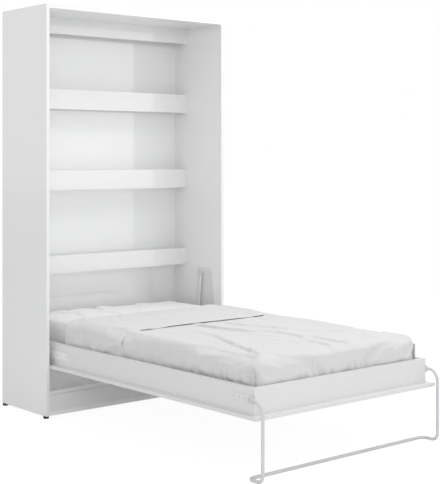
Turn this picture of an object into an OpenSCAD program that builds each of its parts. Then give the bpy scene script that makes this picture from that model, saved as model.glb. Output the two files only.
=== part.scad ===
// Wall bed: a tall shallow cabinet with a single bed that folds up into it on two side pivots.
// X runs across the bed, +Y to the wall, +Z up. The origin is on the floor, under the middle of
// the object's outer box. Places along Y are first measured from the cabinet's front plane,
// and place() then moves every piece back by y_shift.

/* [Mattress and bedding] */
// Width of the mattress
mattress_w = 1000; // [700:10:1200]
// Length of the mattress
mattress_l = 1980; // [1800:10:2100]
// Thickness of the mattress at its crown
mattress_h = 190; // [140:5:200]
// Drop from the crown of the mattress to its shoulder
mattress_crown = 9; // [2:1:20]
// Radius of the mattress corners, seen from above
mattress_corner = 45; // [20:5:90]
// Size of the rolled edges of the mattress
mattress_roll = 20; // [10:1:30]
// Thickness of the duvet
duvet_t = 9; // [6:1:14]
// How far the duvet and its turned part stand off the mattress sides
duvet_side = 17; // [12:1:22]
// Length of the duvet's turned-back part
turn_l = 520; // [300:10:700]
// Distance from the mattress head to the duvet's fold
turn_from_head = 446; // [300:1:600]
// How far the turned-back part stands off the duvet's sides
turn_over = 2; // [1:0.5:4]
// Depth that the duvet is tucked below the top of the side boards
duvet_tuck = 14; // [5:1:30]
// Size of the duvet's round shoulders
duvet_round = 34; // [20:1:45]
// Width of the duvet's shoulders up to the outermost fold
duvet_shoulder = 60; // [45:1:90]
// Sideways wave of the duvet's hanging sides
duvet_wave = 1.5; // [0:0.5:3]

/* [Bed box] */
// Thickness of the side, foot and head boards
board_t = 18; // [15:1:25]
// Height of the side, foot and head boards
board_h = 118; // [100:1:140]
// Free space between a mattress side and its side board
mattress_side_gap = 35.5; // [28:0.5:50]
// Free space between the mattress foot and the foot board
mattress_foot_gap = 18; // [18:1:60]
// Free space between the mattress head and the head board
mattress_head_gap = 4; // [1:1:10]
// Distance from the pivot back to the outside of the head board
head_reach = 306; // [278:1:314]
// Thickness of the front panel
panel_t = 16; // [12:1:20]
// Height of the front panel's underside above the floor when the bed is down
panel_z = 265; // [258:1:300]
// Overhang of the front panel past the foot board
panel_foot_overhang = 40; // [20:1:60]
// Gap between the front panel and each side of the cabinet
panel_side_gap = 6.5; // [5:0.5:12]
// Width of a slat ledge
ledge_w = 25; // [20:1:35]
// Height of a slat ledge
ledge_h = 25; // [20:1:30]
// Number of slats
slat_count = 14; // [10:1:18]
// Width of a slat
slat_w = 70; // [50:1:80]
// Thickness of a slat
slat_t = 10; // [8:1:14]
// Distance of the end slats from the ledges' foot end and from the mattress head
slat_end = 15; // [5:1:40]
// Distance from the foot board to the slat ledges and the centre rail
ledge_foot_gap = 25; // [10:1:40]
// Width of the rail under the middle of the slats
centre_rail_w = 45; // [30:1:60]
// Width of the mattress stops, along the bed
stop_w = 25; // [18:1:30]
// Distance from the foot board to the mattress stops
stop_foot_gap = 20; // [5:1:40]
// Height of the mattress stops above the boards
stop_rise = 70; // [40:1:90]
// Depth of their bend below the boards' top
stop_bend = 12; // [8:1:20]
// Height of their flange on the side boards
stop_flange = 45; // [30:1:50]
// Sheet thickness of the mattress stops
stop_t = 2; // [1.5:0.5:3]

/* [Cabinet] */
// Depth of the cabinet
cab_d = 476; // [470:1:560]
// Thickness of the cabinet's side panels
side_t = 18; // [16:1:25]
// Thickness of the top panel
top_t = 22; // [16:1:30]
// Thickness of the base panel
base_t = 22; // [16:1:25]
// Thickness of the back panel
back_t = 18; // [8:1:20]
// Distance from the rear edges of the sides to the back panel
back_inset = 2; // [0:1:4]
// Height of the feet under the sides
foot_h = 12; // [8:1:13]
// Radius of a foot
foot_r = 15; // [10:1:20]
// Height of the base panel's underside above the floor
base_z = 14; // [14:1:16]
// Gap between the bed box and each side of the cabinet
box_side_gap = 31.5; // [31:0.5:40]
// Gap between the top panel and the leg when the bed is up
top_clear = 7.5; // [5:0.5:20]
// Thickness of the plinth board
plinth_t = 16; // [12:1:16]
// Height of the plinth board
plinth_h = 88; // [60:1:90]
// Height of the strip above the plinth board
strip_h = 16.5; // [12:0.5:20]
// Shadow gap between the plinth board and the strip
strip_gap = 1.5; // [0.5:0.5:4]
// Clearance of the front panel's lower edge as it passes the strip
strip_clear = 2; // [1:0.5:5]

/* [Cross rails] */
// Thickness of a cross rail
rail_t = 18; // [16:1:22]
// Distance from the cabinet's front plane back to the rails
rail_y = 346; // [320:1:380]
// Height of the middle and upper rails
rail_h = 112; // [90:1:130]
// Height of the lower rail
rail_low_h = 98; // [80:1:120]
// Height of the top rail
rail_top_h = 91; // [70:1:120]
// Underside of the lower rail above the floor
rail_low_z = 727; // [640:1:760]
// Underside of the middle rail above the floor
rail_mid_z = 1199; // [1100:1:1300]
// Underside of the upper rail above the floor
rail_up_z = 1660; // [1560:1:1700]
// Radius of a cam lock
cam_r = 7.5; // [6:0.5:9]
// Depth of a cam lock
cam_h = 12; // [9:1:14]
// Distance from a rail's end to its cam lock
cam_inset = 34; // [24:1:40]

/* [Bed pivot] */
// Height of the pivot above the front panel's outer face
pivot_rise = 98; // [90:1:110]
// Inset of the closed front panel from the cabinet's front plane
panel_inset = 4; // [3:1:8]
// Radius of the pivot pins
pivot_r = 8; // [6:0.5:10]
// Radius of the collar behind the pivot pin
collar_r = 14; // [12:1:18]
// Thickness of that collar
collar_t = 6; // [4:1:10]
// Wall of the plastic bush on a pivot pin
bush_wall = 4; // [2:0.5:5]
// Flange thickness of the bush
bush_flange = 2; // [1:0.5:3]
// Running clearance of pins in their bores
run_clear = 0.05; // [0.02:0.01:0.09]
// Clearance between pieces that slide past each other
slide_gap = 0.3; // [0.3:0.1:0.5]
// Thickness of the steel plates on the cabinet sides
mech_t = 3; // [2:0.5:3]
// Height of those plates' top edge above the floor
mech_top = 715; // [700:1:720]
// Height of their lower edge above the front panel's underside
mech_rise = 35; // [25:1:45]
// Distance from the cabinet's front plane back to their rear edge
mech_back = 230; // [225:1:260]
// Length of their top edge
mech_head = 129; // [105:1:135]
// Cut at the front of their top edge
mech_cut = 8; // [4:1:20]
// Width of their neck
mech_neck = 161; // [150:1:175]
// Distance from their top edge down to the neck
mech_neck_drop = 170; // [150:1:210]
// Reach of their wide part in front of the pivot
mech_front = 52; // [35:1:60]
// Height of their wide part above the pivot
mech_shoulder = 57; // [40:1:75]
// Thickness of the steel brackets on the bed's sides
bracket_t = 4; // [3:0.5:5]
// Height of the bracket bars
bracket_h = 44; // [30:1:46]
// Reach of the bracket bars in front of the cabinet
bracket_front = 140; // [60:1:200]
// Reach of the bracket bars behind the strut stud
bracket_tail = 78; // [60:1:80]
// Distance from the pivot down to the bracket bars' top edge
bracket_drop = 3; // [0:1:6]
// Reach of the brackets' raised lobe in front of the pivot
lobe_front_reach = 30; // [25:1:40]
// Reach of that lobe behind the strut stud
lobe_rear_reach = 20; // [16:1:30]
// Distance from the top of the side boards down to the lobe
lobe_drop = 2; // [1:1:6]
// Slope of the lobe's front edge
lobe_slope = 20; // [5:1:30]
// Radius of the screw shanks
screw_r = 2.5; // [2:0.1:3]
// Radius of the screw heads
head_r = 5; // [4:0.1:6]
// Thickness of the screw heads
head_t = 1.5; // [1:0.1:2]
// Clearance round a screw shank
screw_clear = 0.1; // [0.05:0.05:0.3]
// Length of a screw shank in the wood
screw_l = 12; // [8:1:14]
// Distance of the outer screws from the edges of their plates
screw_edge = 20; // [14:1:25]

/* [Gas struts] */
// Distance from the pivot to the stud on the bed
crank_r = 110; // [90:1:115]
// Angle of that stud above the level when the bed is down
crank_a = 10; // [5:1:10]
// Distance from the cabinet's front plane back to the upper stud
strut_y = 175; // [165:1:195]
// Height of the upper stud above the floor
strut_z = 680; // [670:1:690]
// Radius of the studs
stud_r = 5; // [4:0.5:6]
// Outer radius of the strut tubes
tube_r = 9; // [8:0.5:9]
// Wall of the strut tubes
tube_wall = 1.5; // [1:0.5:2]
// Length of the strut tubes from the upper stud
tube_l = 245; // [230:1:250]
// Radius of the strut rods
rod_r = 4; // [3:0.5:5]
// Width of the end fittings
eye_w = 10; // [8:1:11]
// Wall of the end fittings round the studs
eye_wall = 4; // [3:0.5:5]
// Length of a strut's piston
piston_l = 8; // [6:1:12]
// Length of the closed end round a strut's rod
gland_l = 10; // [8:1:14]
// Free run of the piston past the closed end when the strut is open
piston_spare = 4; // [2:1:8]
// Thickness of a strut tube's closed top under its eye
tube_top = 5; // [3:1:8]

/* [Leg] */
// Radius of the leg tube
leg_r = 7.5; // [6:0.5:9]
// Distance from the front panel's foot edge to the leg tube
leg_clear = 20.5; // [15:0.5:40]
// Height of the leg pivot above the front panel's underside
leg_pivot_rise = 84; // [80:1:90]
// Distance from the outside of the foot board to the leg pivot
leg_pivot_inset = 12; // [10:1:20]
// Bend radius at the top of the leg
leg_top_bend = 57; // [45:1:60]
// Bend radius at the bottom corners of the leg
leg_low_bend = 33; // [25:1:36]
// Distance of the floor bar behind the leg pivot
bar_back = 15; // [5:1:20]
// Radius of the leg's pivot pins
leg_pin_r = 4; // [3:0.5:5]
// Radius of the eyes at the leg's ends
leg_eye_r = 12; // [10:0.5:13]
// Thickness of the leg brackets
leg_bracket_t = 3; // [2:0.5:3]
// Length of the leg brackets
leg_bracket_l = 160; // [100:1:200]
// Height of the leg brackets
leg_bracket_h = 34; // [28:1:40]
// Thickness of the pin heads
pin_head_t = 2.5; // [1.5:0.5:3]
// Radius of the pin heads
pin_head_r = 8; // [6:0.5:9]
// Radius of the stop pins under the leg's ends
leg_stop_r = 3; // [2:0.5:4]
// Distance from the stop pins to the front edge of the leg brackets
leg_stop_edge = 2; // [1.5:0.5:5]
// Distance between the screws of a leg bracket
leg_screw_pitch = 35; // [20:1:40]

/* [Wall fixing] */
// Distance from each side panel to its wall screw
wall_inset = 85; // [60:1:200]
// Radius of the wall screw holes
wall_hole_r = 4.25; // [3:0.25:6]
// Flange width of the wall brackets
wall_flange = 40; // [30:1:50]
// Length of the wall brackets
wall_bracket_l = 60; // [40:1:80]
// Sheet thickness of the wall brackets
wall_bracket_t = 3; // [2:0.5:4]
// Distance from the middle of the flange down to the wall screws
wall_hole_drop = 3; // [0:0.5:5]

/* [Hidden] */
$fn = 48;

// Widths, as half widths from the middle plane
mattress_x = mattress_w / 2;
box_in_x = mattress_x + mattress_side_gap;
box_x = box_in_x + board_t;
cab_in_x = box_x + box_side_gap;
wall_x = cab_in_x - wall_inset;
cab_x = cab_in_x + side_t;
panel_x = cab_in_x - panel_side_gap;
leg_x = box_x + leg_bracket_t + slide_gap + leg_r;

// Heights
board_z = panel_z + panel_t;
board_top = board_z + board_h;
ledge_top = board_z + ledge_h;
mattress_z = ledge_top + slat_t;
mattress_top = mattress_z + mattress_h;
pivot_z = panel_z + pivot_rise;
pivot_y = pivot_rise + panel_inset;
base_top = base_z + base_t;
plinth_top = base_top + plinth_h;
strip_z = plinth_top + strip_gap;
strip_top = strip_z + strip_h;

// Places along the bed, from the cabinet's front plane
head_out = pivot_y + head_reach;
mattress_head = head_out - board_t - mattress_head_gap;
mattress_foot = mattress_head - mattress_l;
foot_in = mattress_foot - mattress_foot_gap;
foot_out = foot_in - board_t;
panel_foot = foot_out - panel_foot_overhang;
panel_head = pivot_y + sqrt(pow(pivot_z - strip_top - strip_clear, 2)
                            + pow(pivot_y - plinth_t, 2) - pow(pivot_rise, 2));
leg_y = panel_foot - leg_clear - leg_r;
leg_pivot_y = foot_out + leg_pivot_inset;
leg_pivot_z = panel_z + leg_pivot_rise;
bar_y = leg_pivot_y + bar_back;
reach = leg_r - leg_y;
y_shift = (reach - cab_d) / 2;

// Cabinet heights that follow the raised bed
top_z = pivot_z + pivot_y + reach + top_clear;
cab_h = top_z + top_t;
back_y = cab_d - back_inset - back_t;

// Struts: the stud on the bed, the strut's rest direction and length
crank_y = pivot_y + crank_r * cos(crank_a);
crank_z = pivot_z + crank_r * sin(crank_a);
strut_x = box_x + bracket_t + stud_r + slide_gap + eye_w / 2;
strut_l = norm([crank_y - strut_y, crank_z - strut_z]);
strut_tilt = atan2(crank_y - strut_y, strut_z - crank_z);
closed_y = pivot_y + crank_r * sin(crank_a);
closed_z = pivot_z - crank_r * cos(crank_a);
strut_stroke = norm([closed_y - strut_y, closed_z - strut_z]) - strut_l;
eye_r = stud_r + eye_wall;

// Bed bracket: a bar with a raised lobe round the pivot and the strut stud
bracket_high = pivot_z - bracket_drop;
bracket_low = bracket_high - bracket_h;
bracket_rear = crank_y + bracket_tail;
lobe_top = board_top - lobe_drop;
lobe_front = pivot_y - lobe_front_reach;
lobe_rear = crank_y + lobe_rear_reach;
bush_r = pivot_r + run_clear + bush_wall;
bracket_screw_z = bracket_low + bracket_h / 2;
bracket_screw_span = lobe_front + bracket_front - 2 * screw_edge;
bracket_screws = [for (y = [-bracket_front + screw_edge,
                            -bracket_front + screw_edge + bracket_screw_span / 2,
                            lobe_front - screw_edge,
                            bracket_rear - screw_edge]) [y, bracket_screw_z]];

// Plate on the cabinet side, its outline and its screws
mech_low = panel_z + mech_rise;
mech_neck_z = mech_top - mech_neck_drop;
mech_outline = [[mech_back, mech_low], [mech_back, mech_top], [mech_back - mech_head, mech_top],
                [mech_back - mech_head - mech_cut, mech_top - mech_cut],
                [mech_back - mech_neck, mech_neck_z],
                [pivot_y - mech_front, pivot_z + mech_shoulder],
                [pivot_y - mech_front, mech_low]];
mech_screws = [[pivot_y - mech_front + screw_edge, mech_low + screw_edge],
               [mech_back - screw_edge, mech_low + screw_edge],
               [mech_back - screw_edge, (mech_low + mech_top) / 2],
               [mech_back - screw_edge, mech_top - screw_edge],
               [mech_back - mech_head, mech_top - mech_cut - screw_edge],
               [mech_back - mech_neck + screw_edge, mech_neck_z + screw_edge]];

// Leg brackets
leg_stop_y = leg_pivot_y - leg_eye_r - leg_stop_r;
leg_plate_end = leg_stop_y - leg_stop_r - leg_stop_edge;
leg_plate_rear = leg_plate_end + leg_bracket_l;
leg_plate_low = leg_pivot_z - leg_bracket_h / 2;
leg_screws = [for (i = [0:2]) [leg_plate_rear - screw_edge - leg_screw_pitch * i, leg_pivot_z]];
leg_eye_in = box_x + leg_bracket_t + slide_gap;
leg_eye_out = leg_eye_in + 2 * leg_r;

// Bedding
duvet_head = mattress_head - turn_from_head;
turn_foot = duvet_head - turn_l;
duvet_foot = mattress_foot - mattress_foot_gap / 2;
duvet_low = board_top - duvet_tuck;
duvet_x = mattress_x + duvet_side;
cavity_gap = 0.3;

// The duvet's long folds. Their ends are shares of the half width and of the way from the
// duvet's head to its foot, followed by the fold's half width and height.
duvet_creases = [[[-0.84, 0.61], [0.76, 0.73], 45, 5], [[-0.66, 0.42], [0.84, 0.61], 50, 6],
                 [[-0.94, 0.69], [0.12, 0.93], 45, 5], [[-0.12, 0.38], [0.94, 0.49], 40, 4]];

// End sections of the duvet and of its turned part: distance from the end, drop and inset
duvet_foot_end = [[0, 30, 22], [8, 10, 8], [26, 0, 0]];
duvet_head_end = [[26, 0, 0], [0, 0, 0]];
turn_foot_end = [[0, 3, 1], [8, 0, 0]];
turn_head_end = [[26, 0, 0], [8, 6, 2], [0, 16, 6]];

// Moves a piece from the cabinet's front plane to its place in the object's frame
module place() {
  translate([0, y_shift, 0]) children();
}

// Draws a right-hand piece on either side: 1 is right, -1 is left
module on_side(s) {
  mirror([s < 0 ? 1 : 0, 0, 0]) children();
}

module both_sides() {
  for (s = [-1, 1]) on_side(s) children();
}

// A box between two corners
module block(low, high) {
  translate(low) cube(high - low);
}

// A round bar along X
module bar_x(x0, x1, y, z, r) {
  translate([x0, y, z]) rotate([0, 90, 0]) cylinder(h = x1 - x0, r = r);
}

// A plate of thickness t from x0 outwards, with its outline in Y and Z
module plate_yz(x0, t, outline) {
  translate([x0, 0, 0]) rotate([90, 0, 90]) linear_extrude(t) polygon(outline);
}

// Screws along +X whose heads lie flush with the face at x, and the holes that they need
module screws_x(x, spots) {
  for (p = spots) {
    bar_x(x, x + head_t, p[0], p[1], head_r);
    bar_x(x + head_t / 2, x + screw_l, p[0], p[1], screw_r);
  }
}

module screw_holes_x(x, spots) {
  for (p = spots) {
    bar_x(x - 1, x + head_t, p[0], p[1], head_r + screw_clear);
    bar_x(x - 1, x + screw_l + 1, p[0], p[1], screw_r + screw_clear);
  }
}

function unit(v) = v / norm(v);

// Rigid placement with the three given unit vectors as its axes
module on_axes(u, v, w, origin) {
  multmatrix([[u[0], v[0], w[0], origin[0]], [u[1], v[1], w[1], origin[1]],
              [u[2], v[2], w[2], origin[2]], [0, 0, 0, 1]]) children();
}

function side_axis(d) = unit(cross(abs(d[0]) < 0.9 ? [1, 0, 0] : [0, 1, 0], d));

module round_bar(a, b, r) {
  d = unit(b - a);
  u = side_axis(d);
  on_axes(u, cross(d, u), d, a) cylinder(h = norm(b - a), r = r);
}

// A round tube along straight runs with a bend of its own radius at each inner point
module bent_bar(pts, bends, r) {
  last = len(pts) - 1;
  back = [for (i = [1:last - 1]) unit(pts[i - 1] - pts[i])];
  fore = [for (i = [1:last - 1]) unit(pts[i + 1] - pts[i])];
  half = [for (i = [0:last - 2]) acos(back[i] * fore[i]) / 2];
  cut = [for (i = [0:last - 2]) bends[i] / tan(half[i])];
  for (i = [0:last - 2]) {
    centre = pts[i + 1] + unit(back[i] + fore[i]) * bends[i] / sin(half[i]);
    u = unit(pts[i + 1] + back[i] * cut[i] - centre);
    on_axes(u, -back[i], cross(u, -back[i]), centre)
      rotate_extrude(angle = 180 - 2 * half[i], $fn = 96) translate([bends[i], 0]) circle(r);
  }
  for (i = [0:last - 1])
    round_bar(i == 0 ? pts[0] : pts[i] + fore[i - 1] * cut[i - 1],
              i == last - 1 ? pts[last] : pts[i + 1] + back[i] * cut[i], r);
}

// Outline of a rectangle with round corners, run anticlockwise from its right foot corner
function corner_arc(cx, cy, r, a0, n) =
  [for (i = [0:n]) [cx + r * cos(a0 + 90 * i / n), cy + r * sin(a0 + 90 * i / n)]];
function steps(a, b, n) = [for (i = [1:n - 1]) a + (b - a) * i / n];
function soft_outline(hx, hy, r, nx, ny) = concat(
  corner_arc(hx - r, -hy + r, r, -90, 4), [for (y = steps(-hy + r, hy - r, ny)) [hx, y]],
  corner_arc(hx - r, hy - r, r, 0, 4), [for (x = steps(hx - r, -hx + r, nx)) [x, hy]],
  corner_arc(-hx + r, hy - r, r, 90, 4), [for (y = steps(hy - r, -hy + r, ny)) [-hx, y]],
  corner_arc(-hx + r, -hy + r, r, 180, 4), [for (x = steps(-hx + r, hx - r, nx)) [x, -hy]]);

// Closed solid from rings of equal length, with a point in the middle of each end ring
module ring_solid(rings, low, high) {
  n = len(rings[0]);
  m = len(rings);
  points = concat([for (ring = rings) each ring], [low, high]);
  walls = [for (k = [0:m - 2], i = [0:n - 1]) let (a = k * n + i, b = k * n + (i + 1) % n)
           each [[a, a + n, b], [b, a + n, b + n]]];
  floor_fan = [for (i = [0:n - 1]) [m * n, i, (i + 1) % n]];
  roof_fan = [for (i = [0:n - 1]) [m * n + 1, (m - 1) * n + (i + 1) % n, (m - 1) * n + i]];
  polyhedron(points, concat(walls, floor_fan, roof_fan), convexity = 4);
}

// Crown over a rectangle: 1 in the middle and 0 at the edges
function crown(x, y, hx, hy) = (1 - pow(abs(x) / hx, 4)) * (1 - pow(abs(y) / hy, 6));

// Mattress: sides a little drawn in at mid height, rolled edges and a crowned top
module mattress_form() {
  hx = mattress_x;
  hy = mattress_l / 2;
  roll = mattress_roll;
  shoulder = mattress_h - mattress_crown;
  outline = soft_outline(hx, hy, mattress_corner, 6, 12);
  levels = [[0, -roll], [0.4 * roll, -0.35 * roll], [roll, 0], [mattress_h / 2, -0.2 * roll],
            [shoulder - roll, 0], [shoulder - 0.35 * roll, -0.25 * roll], [shoulder, -roll]];
  sides = [for (l = levels) [for (p = outline)
           [p[0] * (hx + l[1]) / hx, p[1] * (hy + l[1]) / hy, l[0]]]];
  top = [for (s = [0.9, 0.7, 0.4]) [for (p = outline) let (x = p[0] * s, y = p[1] * s)
         [x, y, mattress_h - mattress_crown * (1 - crown(x, y, hx, hy))]]];
  translate([0, mattress_foot + hy, mattress_z])
    ring_solid(concat(sides, top), [0, 0, 0], [0, 0, mattress_h]);
}

// A long soft fold in the duvet from a to b: w is its half width and h its height
function fold(p, a, b, w, h) =
  let (t = max(0, min(1, (p - a) * (b - a) / ((b - a) * (b - a)))), d = norm(p - a - t * (b - a)))
  h * exp(-pow(d / w, 2)) * sin(180 * min(1, max(0.04, t)));
function crease_end(p) = [p[0] * mattress_x, duvet_head + p[1] * (duvet_foot - duvet_head)];
function sum(v, i = 0) = i == len(v) ? 0 : v[i] + sum(v, i + 1);
function duvet_folds(x, y) =
  sum([for (c = duvet_creases) fold([x, y], crease_end(c[0]), crease_end(c[1]), c[2], c[3])]);

// One section across the bedding at y, from the left hem over the top to the right hem. Its
// shoulders and top lie lower by drop, its sides stand in by inset, and the top has nx steps.
function cover_section(y, hx, top, drop, inset, nx) =
  let (x = hx - inset, r = duvet_round, high = top - drop,
       side = [[x, duvet_low], [x + duvet_wave * cos(y), board_top], [x, high - r],
               [x - 0.24 * r, high - 0.38 * r], [x - 0.76 * r, high - 0.09 * r]])
  concat([for (p = side) [-p[0], y, p[1]]],
         [for (i = [0:nx]) let (u = (2 * i / nx - 1) * (x - duvet_shoulder))
          [u, y, high - 0.06 * r + duvet_folds(u, y)]],
         [for (i = [4:-1:0]) [side[i][0], y, side[i][1]]]);

// Cover over the mattress from y0 to y1: ends lists each end section's distance from y0 or y1,
// its drop and its inset
module cover_form(hx, y0, y1, top, nx, ny, foot_end, head_end) {
  start = y0 + foot_end[len(foot_end) - 1][0];
  stop = y1 - head_end[0][0];
  rings = concat([for (e = foot_end) cover_section(y0 + e[0], hx, top, e[1], e[2], nx)],
                 [for (y = steps(start, stop, ny)) cover_section(y, hx, top, 0, 0, nx)],
                 [for (e = head_end) cover_section(y1 - e[0], hx, top, e[1], e[2], nx)]);
  mid = (duvet_low + top) / 2;
  ring_solid(rings, [0, y0, mid], [0, y1, mid]);
}

module side_panel(s) {
  color("white") on_side(s) difference() {
    block([cab_in_x, 0, foot_h], [cab_x, cab_d, cab_h]);
    screw_holes_x(cab_in_x - mech_t, mech_screws);
  }
}

module top_panel() {
  color("white") block([-cab_in_x, 0, top_z], [cab_in_x, cab_d, cab_h]);
}

module base_panel() {
  color("white") block([-cab_in_x, 0, base_z], [cab_in_x, back_y + back_t, base_top]);
}

module back_panel() {
  color("white") difference() {
    block([-cab_in_x, back_y, base_top], [cab_in_x, back_y + back_t, top_z]);
    wall_holes();
  }
}

// Bores for the wall screws, through the wall brackets and the back panel
module wall_holes() {
  for (s = [-1, 1]) translate([s * wall_x, back_y - wall_bracket_t - 1,
                               top_z - wall_flange / 2 - wall_hole_drop])
    rotate([-90, 0, 0]) cylinder(h = wall_bracket_t + back_t + 2, r = wall_hole_r);
}

// The two cylinders behind a rail that its cam locks fill, and that are cut out of it
module cams(z0, h, r, depth) {
  for (s = [-1, 1]) translate([s * (cab_in_x - cam_inset), rail_y + rail_t + 0.01, z0 + h / 2])
    rotate([90, 0, 0]) cylinder(h = depth, r = r);
}

module cross_rail(z0, h) {
  color("white") difference() {
    block([-cab_in_x, rail_y, z0], [cab_in_x, rail_y + rail_t, z0 + h]);
    cams(z0, h, cam_r + screw_clear, cam_h + 0.01);
  }
}

module cam_locks() {
  color("silver") for (rail = [[rail_low_z, rail_low_h], [rail_mid_z, rail_h],
                               [rail_up_z, rail_h], [top_z - rail_top_h, rail_top_h]])
    cams(rail[0], rail[1], cam_r, cam_h);
}

module plinth_board() {
  color("white") block([-cab_in_x, 0, base_top], [cab_in_x, plinth_t, plinth_top]);
}

module plinth_strip() {
  color("white") block([-cab_in_x, 0, strip_z], [cab_in_x, plinth_t, strip_top]);
}

module cabinet_feet() {
  color("black") for (s = [-1, 1], y = [foot_r + 4, cab_d - foot_r - 4])
    translate([s * (cab_in_x + side_t / 2), y, 0]) cylinder(h = foot_h, r = foot_r);
}

module wall_bracket(s) {
  color("silver") difference() {
    translate([s * wall_x, 0, 0]) union() {
      block([-wall_bracket_l / 2, back_y - wall_flange, top_z - wall_bracket_t],
            [wall_bracket_l / 2, back_y, top_z]);
      block([-wall_bracket_l / 2, back_y - wall_bracket_t, top_z - wall_flange],
            [wall_bracket_l / 2, back_y, top_z]);
    }
    wall_holes();
  }
}

module mechanism_plate(s) {
  color("white") on_side(s) difference() {
    plate_yz(cab_in_x - mech_t, mech_t, mech_outline);
    screw_holes_x(cab_in_x - mech_t, mech_screws);
  }
}

// Pin with its collar, welded to the plate on the cabinet side
module pivot_pin(s) {
  color("silver") on_side(s) {
    bar_x(cab_in_x - mech_t - collar_t, cab_in_x - mech_t, pivot_y, pivot_z, collar_r);
    bar_x(box_x + slide_gap, cab_in_x - mech_t - collar_t / 2, pivot_y, pivot_z, pivot_r);
  }
}

module upper_strut_studs() {
  color("silver") both_sides()
    bar_x(strut_x - eye_w / 2 - 1, cab_in_x - mech_t, strut_y, strut_z, stud_r);
}

module mechanism_screws() {
  color("silver") both_sides() screws_x(cab_in_x - mech_t, mech_screws);
}

// Strut parts are drawn hanging straight down from the upper stud and then tilted
module strut_frame(s) {
  on_side(s) translate([strut_x, strut_y, strut_z]) rotate([strut_tilt, 0, 0]) children();
}

module strut_tube(s) {
  color("gainsboro") strut_frame(s) difference() {
    union() {
      rotate([0, 90, 0]) cylinder(h = eye_w, r = eye_r, center = true);
      translate([0, 0, -tube_l]) cylinder(h = tube_l - 0.8 * eye_r, r = tube_r);
    }
    rotate([0, 90, 0]) cylinder(h = 4 * eye_w, r = stud_r + run_clear, center = true);
    translate([0, 0, gland_l - tube_l])
      cylinder(h = tube_l - gland_l - eye_r - tube_top, r = tube_r - tube_wall);
    translate([0, 0, -tube_l - 1]) cylinder(h = gland_l + 2, r = rod_r + run_clear);
  }
}

module strut_rod(s) {
  top = gland_l + strut_stroke + piston_spare - tube_l;
  color("silver") strut_frame(s) {
    translate([0, 0, -strut_l]) {
      rotate([0, 90, 0]) cylinder(h = eye_w, r = eye_r, center = true);
      translate([0, 0, eye_r / 2]) cylinder(h = strut_l - eye_r / 2 + top + piston_l / 2, r = rod_r);
    }
    translate([0, 0, top]) cylinder(h = piston_l, r = tube_r - tube_wall - run_clear);
  }
}

module front_panel() {
  color("white") block([-panel_x, panel_foot, panel_z], [panel_x, panel_head, board_z]);
}

module side_board(s) {
  color("white") on_side(s) difference() {
    block([box_in_x, foot_in, board_z], [box_x, head_out, board_top]);
    mirror([1, 0, 0]) screw_holes_x(-box_x - bracket_t, bracket_screws);
    mirror([1, 0, 0]) screw_holes_x(-box_x - leg_bracket_t, leg_screws);
  }
}

module foot_board() {
  color("white") block([-box_x, foot_out, board_z], [box_x, foot_in, board_top]);
}

module head_board() {
  color("white") block([-box_in_x, head_out - board_t, board_z], [box_in_x, head_out, board_top]);
}

module slat_ledge(s) {
  color("burlywood") on_side(s)
    block([box_in_x - ledge_w, foot_in + ledge_foot_gap, board_z],
          [box_in_x, head_out - board_t, ledge_top]);
}

module centre_rail() {
  color("burlywood") block([-centre_rail_w / 2, foot_in + ledge_foot_gap, board_z],
                           [centre_rail_w / 2, head_out - board_t, ledge_top]);
}

module slats() {
  first = foot_in + ledge_foot_gap + slat_end;
  pitch = (mattress_head - slat_end - slat_w - first) / (slat_count - 1);
  color("burlywood") for (i = [0:slat_count - 1])
    block([-box_in_x + 1, first + i * pitch, ledge_top],
          [box_in_x - 1, first + i * pitch + slat_w, mattress_z]);
}

module bed_bracket(s) {
  outline = [[-bracket_front, bracket_low], [bracket_rear, bracket_low],
             [bracket_rear, bracket_high], [lobe_rear, lobe_top], [lobe_front, lobe_top],
             [lobe_front - lobe_slope, bracket_high], [-bracket_front, bracket_high]];
  color("white") on_side(s) difference() {
    plate_yz(box_x, bracket_t, outline);
    bar_x(box_x - 1, box_x + bracket_t + 1, pivot_y, pivot_z, bush_r);
    mirror([1, 0, 0]) screw_holes_x(-box_x - bracket_t, bracket_screws);
  }
}

module pivot_bushes() {
  color("dimgray") both_sides() difference() {
    union() {
      bar_x(box_x, box_x + bracket_t + 0.5, pivot_y, pivot_z, bush_r - 0.05);
      bar_x(box_x + bracket_t, box_x + bracket_t + bush_flange, pivot_y, pivot_z, bush_r + 3);
    }
    bar_x(box_x - 1, box_x + 20, pivot_y, pivot_z, pivot_r + run_clear);
  }
}

module lower_strut_studs() {
  color("silver") both_sides()
    bar_x(box_x + bracket_t, strut_x - eye_w / 2 - slide_gap, crank_y, crank_z, stud_r);
}

module bed_bracket_screws() {
  color("silver") both_sides() mirror([1, 0, 0]) screws_x(-box_x - bracket_t, bracket_screws);
}

module leg_bracket(s) {
  color("white") on_side(s) difference() {
    block([box_x, leg_plate_end, leg_plate_low],
          [box_x + leg_bracket_t, leg_plate_rear, leg_plate_low + leg_bracket_h]);
    bar_x(box_x - 1, box_x + leg_bracket_t + 1, leg_pivot_y, leg_pivot_z, leg_pin_r + run_clear);
    mirror([1, 0, 0]) screw_holes_x(-box_x - leg_bracket_t, leg_screws);
  }
}

module leg_bracket_screws() {
  color("silver") both_sides() mirror([1, 0, 0]) screws_x(-box_x - leg_bracket_t, leg_screws);
}

module leg_pivot_pins() {
  color("silver") both_sides() {
    bar_x(box_x, leg_eye_out + slide_gap + pin_head_t / 2, leg_pivot_y, leg_pivot_z, leg_pin_r);
    bar_x(leg_eye_out + slide_gap, leg_eye_out + slide_gap + pin_head_t,
          leg_pivot_y, leg_pivot_z, pin_head_r);
  }
}

// Pins that the leg's ends bear on when the leg is down
module leg_stop_pins() {
  color("silver") both_sides()
    bar_x(box_x + leg_bracket_t, leg_x + leg_stop_r, leg_stop_y,
          leg_pivot_z - leg_r - leg_stop_r - slide_gap, leg_stop_r);
}

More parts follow.
